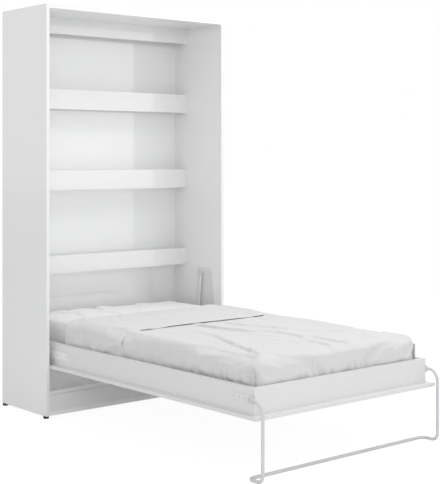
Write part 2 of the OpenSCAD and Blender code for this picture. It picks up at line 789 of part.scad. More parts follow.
module leg_frame() {
  half = [[leg_x, leg_pivot_y, leg_pivot_z], [leg_x, leg_y, leg_pivot_z],
          [leg_x, leg_y, leg_r], [leg_x, bar_y, leg_r]];
  path = concat(half, [for (i = [3:-1:0]) [-half[i][0], half[i][1], half[i][2]]]);
  bends = [leg_top_bend, leg_low_bend, leg_low_bend, leg_low_bend, leg_low_bend, leg_top_bend];
  color("whitesmoke") difference() {
    union() {
      bent_bar(path, bends, leg_r);
      both_sides() bar_x(leg_eye_in, leg_eye_out, leg_pivot_y, leg_pivot_z, leg_eye_r);
    }
    both_sides() bar_x(leg_eye_in - 1, leg_eye_out + 1, leg_pivot_y, leg_pivot_z,
                       leg_pin_r + run_clear);
  }
}

// Bent plates on the side boards: flange, bend and upright beside the bedding's foot corners
module mattress_stops() {
  stop_x = duvet_x + turn_over + slide_gap;
  stop_y = foot_in + stop_foot_gap;
  bend_z = board_top - stop_bend;
  color("white") both_sides() {
    block([box_in_x - stop_t, stop_y, bend_z - stop_flange], [box_in_x, stop_y + stop_w, bend_z]);
    block([stop_x, stop_y, bend_z - stop_t], [box_in_x, stop_y + stop_w, bend_z]);
    block([stop_x, stop_y, bend_z - stop_t],
          [stop_x + stop_t, stop_y + stop_w, board_top + stop_rise]);
  }
}

module mattress() {
  color("ghostwhite") mattress_form();
}

module duvet() {
  color("snow") difference() {
    union() {
      cover_form(duvet_x, duvet_foot, duvet_head, mattress_top + duvet_t, 14, 32,
                 duvet_foot_end, duvet_head_end);
      cover_form(duvet_x + turn_over, turn_foot, duvet_head + 2 * turn_over,
                 mattress_top + 2 * duvet_t, 8, 5, turn_foot_end, turn_head_end);
    }
    block([-mattress_x - cavity_gap, mattress_foot - cavity_gap, duvet_low - 1],
          [mattress_x + cavity_gap, duvet_head + duvet_round, mattress_top + cavity_gap]);
  }
}

place() side_panel(-1);  // side_panel_left
place() side_panel(1);  // side_panel_right
place() top_panel();
place() base_panel();
place() back_panel();
place() cross_rail(top_z - rail_top_h, rail_top_h);  // cross_rail_top
place() cross_rail(rail_up_z, rail_h);  // cross_rail_upper
place() cross_rail(rail_mid_z, rail_h);  // cross_rail_middle
place() cross_rail(rail_low_z, rail_low_h);  // cross_rail_lower
place() plinth_board();
place() plinth_strip();
place() cabinet_feet();
place() cam_locks();
place() wall_bracket(-1);  // wall_bracket_left
place() wall_bracket(1);  // wall_bracket_right
place() mechanism_plate(-1);  // mechanism_plate_left
place() mechanism_plate(1);  // mechanism_plate_right
place() pivot_pin(-1);  // pivot_pin_left
place() pivot_pin(1);  // pivot_pin_right
place() upper_strut_studs();
place() mechanism_screws();
place() strut_tube(-1);  // strut_tube_left
place() strut_tube(1);  // strut_tube_right
place() strut_rod(-1);  // strut_rod_left
place() strut_rod(1);  // strut_rod_right
place() front_panel();
place() side_board(-1);  // side_board_left
place() side_board(1);  // side_board_right
place() foot_board();
place() head_board();
place() slat_ledge(-1);  // slat_ledge_left
place() slat_ledge(1);  // slat_ledge_right
place() centre_rail();
place() slats();
place() bed_bracket(-1);  // bed_bracket_left
place() bed_bracket(1);  // bed_bracket_right
place() pivot_bushes();
place() lower_strut_studs();
place() bed_bracket_screws();
place() leg_bracket(-1);  // leg_bracket_left
place() leg_bracket(1);  // leg_bracket_right
place() leg_bracket_screws();
place() leg_pivot_pins();
place() leg_stop_pins();
place() leg_frame();
place() mattress_stops();
place() mattress();
place() duvet();
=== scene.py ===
# Wall bed, lowered: finishes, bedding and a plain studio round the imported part.
# Lengths are metres in the part's own frame: X across the bed, +Y to the wall, +Z up.
import math

import bmesh
import bpy
import numpy as np
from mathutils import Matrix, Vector, noise


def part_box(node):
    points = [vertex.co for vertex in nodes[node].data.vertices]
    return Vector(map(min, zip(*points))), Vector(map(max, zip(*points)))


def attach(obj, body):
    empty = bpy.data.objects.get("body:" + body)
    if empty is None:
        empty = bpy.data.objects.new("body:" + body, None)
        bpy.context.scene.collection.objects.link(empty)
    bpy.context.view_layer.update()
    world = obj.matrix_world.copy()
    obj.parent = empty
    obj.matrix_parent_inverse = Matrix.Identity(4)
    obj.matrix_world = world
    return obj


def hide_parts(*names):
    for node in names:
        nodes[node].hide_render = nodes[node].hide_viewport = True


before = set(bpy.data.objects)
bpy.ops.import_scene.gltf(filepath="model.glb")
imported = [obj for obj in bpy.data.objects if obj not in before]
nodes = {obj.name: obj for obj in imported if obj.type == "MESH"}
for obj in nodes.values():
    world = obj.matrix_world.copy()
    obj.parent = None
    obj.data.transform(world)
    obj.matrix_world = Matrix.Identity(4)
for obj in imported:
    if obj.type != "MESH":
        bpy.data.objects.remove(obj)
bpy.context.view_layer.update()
print("frame:", len(nodes), "nodes")

# Camera, light and floor

studio = {
    "lens": 86.1,  # mm for a long side of 36 mm
    "cameraPlace": (-3.7729, -4.7687, 1.3842),
    "cameraTurn": -0.7312,  # radians about Z, looking level
    "shift": (-0.12397, -0.17457),
    "ambient": 0.64,  # light from all round
    "softboxes": [  # width and height in metres
        {"name": "front", "place": (3.4, -4.9, 1.6), "aim": (0.0, 0.6, 1.5), "size": (3.0, 3.0),
         "watts": 13},
        {"name": "side", "place": (-3.4, -5.2, 2.4), "aim": (0.0, -0.2, 0.9), "size": (3.0, 3.0),
         "watts": 61},
        {"name": "above", "place": (1.4, -0.9, 4.4), "aim": (0.0, -0.5, 0.4), "size": (2.8, 2.8),
         "watts": 76},
        {"name": "flank", "place": (-2.6, 1.5, 2.3), "aim": (-0.6, 0.6, 2.0), "size": (1.2, 1.2),
         "watts": 2.5},
        {"name": "underBed", "place": (-0.1, 0.6228, 0.24), "aim": (-0.1, 1.07, 0.12),
         "size": (1.0, 0.03), "watts": 0.5},  # lifts the shade between the bed and the plinth
    ],
    "floorSize": 80.0,
    "floorTone": 0.88,
    "floorGlow": 0.86,  # share of the floor's own white that the camera sees
    "floorWhite": 1.08,
    "floorFill": 0.08,  # share that the floor gives back to the object in the bed's own shade
}


def makeCamera(spec):
    camera = bpy.data.cameras.new("camera")
    camera.lens = spec["lens"]
    camera.sensor_width = 36
    camera.shift_x, camera.shift_y = spec["shift"]
    camera.clip_end = 200
    holder = bpy.data.objects.new("camera", camera)
    holder.location = spec["cameraPlace"]
    holder.rotation_euler = (math.pi / 2, 0, spec["cameraTurn"])
    bpy.context.scene.collection.objects.link(holder)
    bpy.context.scene.camera = holder


def feed(tree, node, inputs):  # sets a node's inputs to values, or links them
    for name, value in inputs.items():
        if isinstance(value, bpy.types.NodeSocket):
            tree.links.new(value, node.inputs[name])
        else:
            node.inputs[name].default_value = value
    return node


def put(tree, kind, inputs=None, **settings):  # adds a shader node, with values or links
    node = tree.nodes.new("ShaderNode" + kind)
    for name, value in settings.items():
        setattr(node, name, value)
    return feed(tree, node, inputs or {})


def calc(tree, operation, a, b=0.0, clamp=False):
    return put(tree, "Math", {0: a, 1: b}, operation=operation, use_clamp=clamp).outputs[0]


def times(tree, a, b):
    return calc(tree, "MULTIPLY", a, b)


def noiseIn(tree, place, scale, detail, rough=0.5, twist=0.0):
    return put(tree, "TexNoise", {"Vector": place, "Scale": scale, "Detail": detail,
                                  "Roughness": rough, "Distortion": twist}).outputs["Fac"]


def blendColour(tree, factor, a, b, kind="MIX"):
    return put(tree, "Mix", {0: factor, 6: a, 7: b}, data_type="RGBA", blend_type=kind).outputs[2]


def emptyMaterial(name):
    material = bpy.data.materials.new(name)
    material.use_nodes = True
    material.node_tree.nodes.clear()
    return material, material.node_tree


def setSurface(tree, inputs):
    shader = put(tree, "BsdfPrincipled", inputs)
    put(tree, "OutputMaterial", {"Surface": shader.outputs[0]})


def ramp(tree, share, least, most):  # least, and up to most on top of it
    return calc(tree, "ADD", times(tree, share, most), least)


def makeStudio(spec):
    scene = bpy.context.scene
    scene.view_settings.view_transform = "Standard"
    world = bpy.data.worlds.new("studioWorld")
    world.use_nodes = True
    scene.world = world
    tree = world.node_tree
    tree.nodes.clear()
    path = put(tree, "LightPath").outputs
    seen = calc(tree, "MAXIMUM", path["Is Camera Ray"], path["Is Glossy Ray"])
    seen = calc(tree, "MAXIMUM", seen, path["Is Transmission Ray"])
    lit = put(tree, "Background", {"Color": (0.985, 0.99, 1.0, 1), "Strength": spec["ambient"]})
    shown = put(tree, "Background", {"Color": (1, 1, 1, 1), "Strength": 1.0})
    mixed = put(tree, "MixShader", {0: seen, 1: lit.outputs[0], 2: shown.outputs[0]})
    put(tree, "OutputWorld", {"Surface": mixed.outputs[0]})

    for box in spec["softboxes"]:
        light = bpy.data.lights.new(box["name"], "AREA")
        light.energy = box["watts"]
        light.shape = "RECTANGLE"
        light.size, light.size_y = box["size"]
        lamp = bpy.data.objects.new(box["name"], light)
        lamp.location = box["place"]
        aim = Vector(box["aim"]) - Vector(box["place"])
        lamp.rotation_euler = aim.to_track_quat("-Z", "Y").to_euler()
        lamp.visible_camera = False
        scene.collection.objects.link(lamp)

    half = spec["floorSize"] / 2
    mesh = bpy.data.meshes.new("floor")
    mesh.from_pydata([(-half, -half, 0), (half, -half, 0), (half, half, 0), (-half, half, 0)],
                     [], [(0, 1, 2, 3)])
    floor = bpy.data.objects.new("floor", mesh)
    floor.location.z = -0.0005
    scene.collection.objects.link(floor)
    material, tree = emptyMaterial("floorPale")
    tone = spec["floorTone"]
    matt = put(tree, "BsdfPrincipled", {"Base Color": (tone, tone, tone, 1), "Roughness": 0.6,
                                        "Specular IOR Level": 0.2})
    glow = put(tree, "Emission", {"Color": (1, 1, 1, 1), "Strength": spec["floorWhite"]})
    path = put(tree, "LightPath").outputs
    seen = times(tree, path["Is Camera Ray"], spec["floorGlow"])
    fill = times(tree, path["Is Diffuse Ray"], spec["floorFill"])
    share = calc(tree, "MAXIMUM", seen, fill)
    mixed = put(tree, "MixShader", {0: share, 1: matt.outputs[0], 2: glow.outputs[0]})
    put(tree, "OutputMaterial", {"Surface": mixed.outputs[0]})
    material.cycles.emission_sampling = "NONE"  # so large a floor is found by the rays themselves
    mesh.materials.append(material)


makeCamera(studio)
makeStudio(studio)
print("studio: camera, light and floor")

# Effects that several finishes share


def newGroup(name, inputs, outputs):
    group = bpy.data.node_groups.new(name, "ShaderNodeTree")
    for label, kind, value in inputs:
        socket = group.interface.new_socket(label, in_out="INPUT", socket_type="NodeSocket" + kind)
        if value is not None:
            socket.default_value = value
    for label, kind in outputs:
        group.interface.new_socket(label, in_out="OUTPUT", socket_type="NodeSocket" + kind)
    given, made = group.nodes.new("NodeGroupInput"), group.nodes.new("NodeGroupOutput")
    return group, given.outputs, made.inputs


def useGroup(tree, group, inputs):
    node = tree.nodes.new("ShaderNodeGroup")
    node.node_tree = group
    return feed(tree, node, inputs).outputs


def makeCoatRelief():  # the fine ripple of foil, lacquer and powder coat
    group, given, made = newGroup("coatRelief", [("Ripple Size", "Float", 0.004)],
                                  [("Height", "Float")])
    place = put(group, "TexCoord").outputs["Object"]
    scale = calc(group, "DIVIDE", 1.0, given["Ripple Size"])
    group.links.new(noiseIn(group, place, scale, 2.0), made["Height"])
    return group


def makeHandling():  # smudges and wiped patches: 0 clean, 1 dull
    group, given, made = newGroup("handling", [("Patch Size", "Float", 0.25)],
                                  [("Dullness", "Float")])
    place = put(group, "TexCoord").outputs["Object"]
    scale = calc(group, "DIVIDE", 1.0, given["Patch Size"])
    patches = noiseIn(group, place, scale, 5.0, 0.62, 0.6)
    dull = put(group, "MapRange", {"Value": patches, "From Min": 0.38, "From Max": 0.68})
    group.links.new(dull.outputs[0], made["Dullness"])
    return group


def makeEdgeWearAndShade():  # softened arrises, and a patchy mask along them that darkens the colour: rubbed wear, and on the white coats painted shade for their dark outline
    group, given, made = newGroup("edgeWearAndShade", [("Edge Radius", "Float", 0.0008),
                                               ("Normal", "Vector", None)],
                                  [("Wear And Shade", "Float"), ("Normal", "Vector")])
    softened = put(group, "Bevel", {"Radius": given["Edge Radius"]}, samples=6)
    flat = put(group, "NewGeometry").outputs["Normal"]
    along = put(group, "VectorMath", {0: softened.outputs[0], 1: flat}, operation="DOT_PRODUCT")
    bent = calc(group, "SUBTRACT", 1.0, along.outputs["Value"], clamp=True)
    place = put(group, "TexCoord").outputs["Object"]
    rubbedAndShaded = noiseIn(group, place, 40.0, 3.0)
    share = put(group, "MapRange", {"Value": rubbedAndShaded, "From Min": 0.4, "From Max": 0.7})
    sharp = calc(group, "MULTIPLY", bent, 5.0, clamp=True)
    wearAndShade = times(group, sharp, share.outputs[0])
    group.links.new(wearAndShade, made["Wear And Shade"])
    back = put(group, "VectorMath", {0: softened.outputs[0], 1: flat}, operation="SUBTRACT")
    both = put(group, "VectorMath", {0: given["Normal"], 1: back.outputs[0]}, operation="ADD")
    unit = put(group, "VectorMath", {0: both.outputs[0]}, operation="NORMALIZE")
    group.links.new(unit.outputs[0], made["Normal"])
    return group


def makeEdgeBand():  # glue line of an edge band, a hair in from a board's edge plane
    group, given, made = newGroup("edgeBand", [("Axis", "Vector", (0, 1, 0)),
                                               ("Plane", "Float", 0.0), ("Band", "Float", 0.001)],
                                  [("Line", "Float")])
    place = put(group, "TexCoord").outputs["Object"]
    along = put(group, "VectorMath", {0: place, 1: given["Axis"]}, operation="DOT_PRODUCT")
    depth = calc(group, "SUBTRACT", along.outputs["Value"], given["Plane"])
    depth = calc(group, "ABSOLUTE", depth)
    off = calc(group, "ABSOLUTE", calc(group, "SUBTRACT", depth, given["Band"]))
    line = calc(group, "LESS_THAN", off, 0.00018)
    group.links.new(line, made["Line"])
    return group


def makeWeave():  # plain weave with uneven threads, on the cloth's own coordinates
    group, given, made = newGroup("weave", [("Thread", "Float", 0.0008),
                                            ("Unevenness", "Float", 0.3)],
                                  [("Height", "Float"), ("Slub", "Float")])
    place = put(group, "Attribute", attribute_name="clothPlace").outputs["Vector"]
    part = put(group, "SeparateXYZ", {0: place})
    scale = calc(group, "DIVIDE", math.pi, given["Thread"])
    warp = calc(group, "SINE", times(group, part.outputs["X"], scale))
    weft = calc(group, "SINE", times(group, part.outputs["Y"], scale))
    over = times(group, warp, weft)
    height = times(group, calc(group, "ADD", over, 1.0), 0.5)
    thick = []  # thicker stretches of the threads, lengthways and across
    for scales in ((900.0, 14.0, 1.0), (14.0, 900.0, 1.0)):
        threads = put(group, "Mapping", {"Vector": place, "Scale": scales})
        thick.append(noiseIn(group, threads.outputs[0], 1.0, 1.0))
    slubs = times(group, calc(group, "ADD", *thick), 0.5)
    uneven = times(group, slubs, given["Unevenness"])
    group.links.new(calc(group, "ADD", height, uneven), made["Height"])
    group.links.new(slubs, made["Slub"])
    return group


def makeTimberGrain():  # straight softwood grain along X
    group, given, made = newGroup("timberGrain", [("Ring Width", "Float", 0.006)],
                                  [("Late Wood", "Float"), ("Fibre", "Float")])
    place = put(group, "TexCoord").outputs["Object"]
    stretched = put(group, "Mapping", {"Vector": place, "Scale": (0.12, 1.0, 1.0)})
    part = put(group, "SeparateXYZ", {0: stretched.outputs[0]})
    bow = times(group, noiseIn(group, stretched.outputs[0], 9.0, 3.0), 0.05)
    across = calc(group, "ADD", part.outputs["Y"], bow)
    rings = calc(group, "FRACT", calc(group, "DIVIDE", across, given["Ring Width"]))
    late = calc(group, "POWER", rings, 3.0)
    fine = put(group, "Mapping", {"Vector": place, "Scale": (30.0, 900.0, 900.0)})
    group.links.new(late, made["Late Wood"])
    group.links.new(noiseIn(group, fine.outputs[0], 1.0, 2.0), made["Fibre"])
    return group


coatRelief, handling, edgeWearAndShade = makeCoatRelief(), makeHandling(), makeEdgeWearAndShade()
edgeBand, weave, timberGrain = makeEdgeBand(), makeWeave(), makeTimberGrain()
print("effects: shared node groups")

# Finishes of the rigid pieces

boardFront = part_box("side_panel_left")[0].y  # front plane of the cabinet boards
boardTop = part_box("side_board_left")[1].z  # top plane of the bed's boards

boardFinishes = {  # dull: least roughness, and how much handling adds to it
    "glossFoil": {"tone": (0.885, 0.888, 0.886), "dull": (0.045, 0.05),
                  "ior": 1.9, "coat": 1.0, "ripple": 0.006, "relief": 0.00002,
                  "axis": (0, 1, 0), "plane": boardFront},
    "railFoil": {"tone": (0.835, 0.838, 0.836), "dull": (0.06, 0.05),
                 "ior": 1.8, "coat": 1.0, "ripple": 0.006, "relief": 0.00002,
                 "axis": (0, 1, 0), "plane": boardFront},
    "carcassFoil": {"tone": (0.905, 0.907, 0.905), "dull": (0.16, 0.08),
                    "ior": 1.5, "coat": 0.35, "ripple": 0.004, "relief": 0.00003,
                    "axis": (0, 1, 0), "plane": boardFront},
    # satin foil of the bed's boards; on the plinth its darker tone is painted shade, for the shade
    # under the bed
    "satinFoilAndShade": {"tone": (0.79, 0.792, 0.791), "wornAndShade": (0.72, 0.71, 0.69),
                  "dull": (0.28, 0.1), "ior": 1.5, "coat": 0.15, "ripple": 0.003,
                  "relief": 0.00004, "axis": (0, 0, 1), "plane": boardTop},
}
boardWear = {
    "arris": 0.0009,  # radius of the softened edges
    "band": 0.001,  # from the edge plane to the glue line of the edge band
    "lineDepth": 2.0,  # in heights of the ripple
    "lineMark": 0.45,  # how much the glue line and a rubbed arris take the worn tone
    "rubbedAndShadeMark": 0.35,
    "patch": 0.3,  # size of the handled patches
    "wornAndShade": (0.74, 0.73, 0.71),  # where a finish gives no worn tone of its own
}


def makeBoard(name, look):
    material, tree = emptyMaterial(name)
    ripple = useGroup(tree, coatRelief, {"Ripple Size": look["ripple"]})
    line = useGroup(tree, edgeBand, {"Axis": look["axis"], "Plane": look["plane"],
                                     "Band": boardWear["band"]})
    groove = times(tree, line["Line"], boardWear["lineDepth"])
    relief = calc(tree, "SUBTRACT", ripple["Height"], groove)
    bump = put(tree, "Bump", {"Height": relief, "Strength": 1.0, "Distance": look["relief"]})
    wearAndShade = useGroup(tree, edgeWearAndShade, {"Edge Radius": boardWear["arris"], "Normal": bump.outputs[0]})
    rubbedAndShaded = times(tree, wearAndShade["Wear And Shade"], boardWear["rubbedAndShadeMark"])
    lined = times(tree, line["Line"], boardWear["lineMark"])
    marked = calc(tree, "MAXIMUM", rubbedAndShaded, lined)
    colour = blendColour(tree, marked, (*look["tone"], 1),
                         (*look.get("wornAndShade", boardWear["wornAndShade"]), 1))
    smudge = useGroup(tree, handling, {"Patch Size": boardWear["patch"]})
    rough = ramp(tree, smudge["Dullness"], *look["dull"])
    setSurface(tree, {
        "Base Color": colour, "Roughness": rough, "Normal": wearAndShade["Normal"], "IOR": look["ior"],
        "Coat Weight": look["coat"], "Coat Roughness": 0.03, "Coat IOR": 1.55})
    return material


metalFinishes = {
    "powderWhite": {"tone": (0.67, 0.674, 0.678), "second": (0.70, 0.703, 0.706),
                    "dull": (0.3, 0.12), "ripple": 0.0016, "relief": 0.00005},
    "plateWhite": {"tone": (0.86, 0.862, 0.865), "second": (0.88, 0.882, 0.884),
                   "dull": (0.22, 0.1), "ripple": 0.0016, "relief": 0.00003},
    "bracketWhite": {"tone": (0.775, 0.777, 0.78), "second": (0.79, 0.792, 0.795),
                     "dull": (0.3, 0.1), "ripple": 0.0016, "relief": 0.00004},
    "zincPlate": {"tone": (0.62, 0.63, 0.65), "second": (0.72, 0.73, 0.74), "metal": 1.0,
                  "dull": (0.28, 0.2), "ripple": 0.003, "relief": 0.00003,
                  "wornAndShade": (0.5, 0.49, 0.47)},
    "rodChrome": {"tone": (0.76, 0.77, 0.79), "second": (0.8, 0.81, 0.83), "metal": 1.0,
                  "dull": (0.05, 0.06), "ripple": 0.002, "relief": 0.000005,
                  "wornAndShade": (0.6, 0.6, 0.6)},
    "strutGrey": {"tone": (0.74, 0.745, 0.75), "second": (0.78, 0.782, 0.785),
                  "dull": (0.25, 0.15), "ripple": 0.002, "relief": 0.00004},
    "feetBlack": {"tone": (0.012, 0.012, 0.012), "second": (0.022, 0.022, 0.022),
                  "dull": (0.45, 0.2), "ripple": 0.0009, "relief": 0.0001,
                  "wornAndShade": (0.06, 0.06, 0.06)},
    "bushGrey": {"tone": (0.21, 0.215, 0.22), "second": (0.26, 0.262, 0.265),
                 "dull": (0.4, 0.2), "ripple": 0.0009, "relief": 0.00006,
                 "wornAndShade": (0.35, 0.35, 0.35)},
}
# Hardware edges take a darker tone. On the white coats it is painted shade, standing for the dark
# shadow outline round the plates. On the finishes with a worn tone of their own it is wear.
metalWearAndShade = {
    "arris": 0.0005,
    "patch": 0.05,
    "wornAndShade": (0.5, 0.5, 0.5),  # painted shade along the edges of the white coats, which give no worn tone of their own
    "rubbedAndShadeMark": 0.5,
}


def makeHardware(name, look):
    material, tree = emptyMaterial(name)
    ripple = useGroup(tree, coatRelief, {"Ripple Size": look["ripple"]})
    bump = put(tree, "Bump", {"Height": ripple["Height"], "Strength": 1.0,
                              "Distance": look["relief"]})
    wearAndShade = useGroup(tree, edgeWearAndShade, {"Edge Radius": metalWearAndShade["arris"], "Normal": bump.outputs[0]})
    smudge = useGroup(tree, handling, {"Patch Size": metalWearAndShade["patch"]})
    clouded = blendColour(tree, smudge["Dullness"], (*look["tone"], 1), (*look["second"], 1))
    # darker along the edges: painted shade on the white coats, wear on the rest
    rubbedAndShaded = times(tree, wearAndShade["Wear And Shade"], metalWearAndShade["rubbedAndShadeMark"])
    colour = blendColour(tree, rubbedAndShaded, clouded, (*look.get("wornAndShade", metalWearAndShade["wornAndShade"]), 1))
    rough = ramp(tree, smudge["Dullness"], *look["dull"])
    setSurface(tree, {"Base Color": colour, "Roughness": rough, "Metallic": look.get("metal", 0.0),
                      "Normal": wearAndShade["Normal"]})
    return material


timberLook = {
    "early": (0.72, 0.52, 0.32),
    "late": (0.50, 0.31, 0.16),
    "fibre": (0.42, 0.27, 0.15),
    "ring": 0.007,
    "lateMark": 0.6,  # how far the late wood and the fibres colour the rest
    "fibreMark": 0.18,
    "dull": (0.5, 0.2),
    "relief": 0.0002,
}


def makeTimber(look):
    material, tree = emptyMaterial("planedPine")
    grain = useGroup(tree, timberGrain, {"Ring Width": look["ring"]})
    banded = blendColour(tree, times(tree, grain["Late Wood"], look["lateMark"]),
                         (*look["early"], 1), (*look["late"], 1))
    colour = blendColour(tree, times(tree, grain["Fibre"], look["fibreMark"]), banded,
                         (*look["fibre"], 1))
    relief = calc(tree, "ADD", grain["Fibre"], grain["Late Wood"])
    bump = put(tree, "Bump", {"Height": relief, "Strength": 0.6, "Distance": look["relief"]})
    rough = ramp(tree, grain["Fibre"], *look["dull"])
    setSurface(tree, {"Base Color": colour, "Roughness": rough, "Normal": bump.outputs[0]})
    return material


finishes = {name: makeBoard(name, look) for name, look in boardFinishes.items()}
finishes.update({name: makeHardware(name, look) for name, look in metalFinishes.items()})
finishes["planedPine"] = makeTimber(timberLook)

nodeFinishes = {  # a name stands for itself and for its sides or heights
    "glossFoil": ["back_panel"],
    "railFoil": ["cross_rail"],
    "carcassFoil": ["side_panel", "top_panel", "base_panel"],
    # the plinth board and strip take this darker foil as painted shade under the bed, not as a
    # foil of their own
    "satinFoilAndShade": ["front_panel", "side_board", "foot_board", "head_board", "plinth_board",
                  "plinth_strip"],
    "planedPine": ["slat_ledge", "centre_rail", "slats"],
    "powderWhite": ["leg_frame", "mattress_stops"],
    "bracketWhite": ["mechanism_plate", "leg_bracket"],
    "plateWhite": ["bed_bracket"],
    "zincPlate": ["cam_locks", "wall_bracket", "pivot_pin", "upper_strut_studs",
                  "lower_strut_studs", "mechanism_screws", "bed_bracket_screws",
                  "leg_bracket_screws", "leg_pivot_pins", "leg_stop_pins"],
    "rodChrome": ["strut_rod"],
    "strutGrey": ["strut_tube"],
    "feetBlack": ["cabinet_feet"],
    "bushGrey": ["pivot_bushes"],
}
nameEnds = ("", "_left", "_right", "_top", "_upper", "_middle", "_lower")
for finish, stems in nodeFinishes.items():
    for name in [stem + end for stem in stems for end in nameEnds if stem + end in nodes]:
        for place in nodes[name].material_slots:
            place.material = finishes[finish]
print("finishes: boards, hardware and timber")

# Cloth of the bedding

clothFinishes = {
    "coverCotton": {"tone": (0.745, 0.745, 0.740), "shade": (0.71, 0.71, 0.705),
                    "thread": 0.0009, "relief": 0.00009, "crumple": 0.0009, "sheen": 0.25},
    "sheetCotton": {"tone": (0.87, 0.868, 0.86), "shade": (0.84, 0.837, 0.828),
                    "thread": 0.0007, "relief": 0.00006, "crumple": 0.0006, "sheen": 0.2},
}


def makeCloth(name, look):
    material, tree = emptyMaterial(name)
    threads = useGroup(tree, weave, {"Thread": look["thread"], "Unevenness": 0.5})
    place = put(tree, "Attribute", attribute_name="clothPlace").outputs["Vector"]
    crumpled = noiseIn(tree, place, 26.0, 4.0, 0.5, 0.8)
    coarse = put(tree, "Bump", {"Height": crumpled, "Strength": 0.5,
                                "Distance": look["crumple"]})
    seam = put(tree, "Attribute", attribute_name="seam").outputs["Fac"]
    fineHeight = calc(tree, "SUBTRACT", threads["Height"], times(tree, seam, 6.0))
    fine = put(tree, "Bump", {"Height": fineHeight, "Strength": 0.7, "Distance": look["relief"],
                              "Normal": coarse.outputs[0]})
    colour = blendColour(tree, times(tree, threads["Slub"], 0.5),
                         (*look["tone"], 1), (*look["shade"], 1))
    rough = ramp(tree, threads["Slub"], 0.78, 0.12)
    setSurface(tree, {
        "Base Color": colour, "Roughness": rough, "Normal": fine.outputs[0],
        "Sheen Weight": look["sheen"], "Sheen Roughness": 0.5, "Specular IOR Level": 0.25})
    return material


for name, look in clothFinishes.items():
    finishes[name] = makeCloth(name, look)

# Mattress in its fitted sheet

mattressSpec = {
    "step": 0.02,  # mesh size
    "corner": 0.045,  # corner radius seen from above
    "roll": 0.026,  # radius of the rolled edges
    "crown": 0.006,  # rise of the top over the shoulders
    "pull": 0.004,  # sides drawn in between the corners
    "frames": 20,
    "pressure": 3.0,
    "cap": 0.006,  # farthest that the simulation may move a point
    "lines": 0.0016,  # height of the soft lines under the cover
    "topBand": (0.022, 0.012),  # the top begins so far under its plane, and takes hold over this
    "bareBand": (0.012, 0.05),  # the bare head end begins so far past the fold, likewise
    "swellings": (0.003, 0.003, 0.0012),  # lift of the bare end, broad and small swellings
    "headLean": 0.4,  # how far the creases there lean over
    "headBulge": 0.009,  # how much fuller the sheet's sides are beyond the cover
    "headCreases": [  # steep and gentle width; points across, from the cover's fold, height
        (0.03, 0.11, [
            (-0.42, -0.5, 0.006), (-0.35, -0.38, 0.011), (-0.3, -0.25, 0.01),
            (-0.32, -0.15, 0.005), (-0.34, -0.06, 0.0)]),
        (0.016, 0.05, [
            (-0.34, -0.5, 0.0), (-0.264, -0.43, 0.009), (-0.161, -0.34, 0.009),
            (-0.09, -0.27, 0.0)]),
        (0.018, 0.13, [
            (-0.06, -0.52, 0.011), (-0.07, -0.42, 0.012), (-0.1, -0.3, 0.008),
            (-0.18, -0.15, 0.0)]),
        (0.016, 0.06, [
            (-0.18, -0.29, 0.0), (-0.145, -0.206, 0.009), (-0.114, -0.122, 0.008),
            (-0.1, -0.03, 0.0)]),
        (0.024, 0.11, [
            (0.23, -0.52, 0.007), (0.19, -0.36, 0.007), (0.12, -0.2, 0.004), (0.1, -0.06, 0.0)]),
    ],
}


def roundedOutline(halfX, halfY, radius, step):  # points and outward normals, anticlockwise
    points = []
    straightX = max(2, round((halfX - radius) * 2 / step))
    straightY = max(2, round((halfY - radius) * 2 / step))
    corners = [(halfX - radius, -halfY + radius, -90), (halfX - radius, halfY - radius, 0),
               (-halfX + radius, halfY - radius, 90), (-halfX + radius, -halfY + radius, 180)]
    for index, (cx, cy, start) in enumerate(corners):
        for k in range(6):
            angle = math.radians(start + 90 * k / 6)
            points.append((cx + radius * math.cos(angle), cy + radius * math.sin(angle),
                           math.cos(angle), math.sin(angle)))
        nextX, nextY = corners[(index + 1) % 4][:2]
        angle = math.radians(start + 90)
        here = (cx + radius * math.cos(angle), cy + radius * math.sin(angle))
        there = (nextX + radius * math.cos(angle), nextY + radius * math.sin(angle))
        count = straightY if index % 2 == 0 else straightX
        for k in range(count):
            t = k / count
            points.append((here[0] + (there[0] - here[0]) * t, here[1] + (there[1] - here[1]) * t,
                           math.cos(angle), math.sin(angle)))
    return points


def toObject(mesh, name):
    data = bpy.data.meshes.new(name)
    mesh.to_mesh(data)
    mesh.free()
    piece = bpy.data.objects.new(name, data)
    bpy.context.scene.collection.objects.link(piece)
    return piece


def getPoints(piece):
    return np.array([vertex.co for vertex in piece.data.vertices])


def setPoints(piece, points):
    piece.data.vertices.foreach_set("co", points.astype(np.float32).ravel())
    piece.data.update()


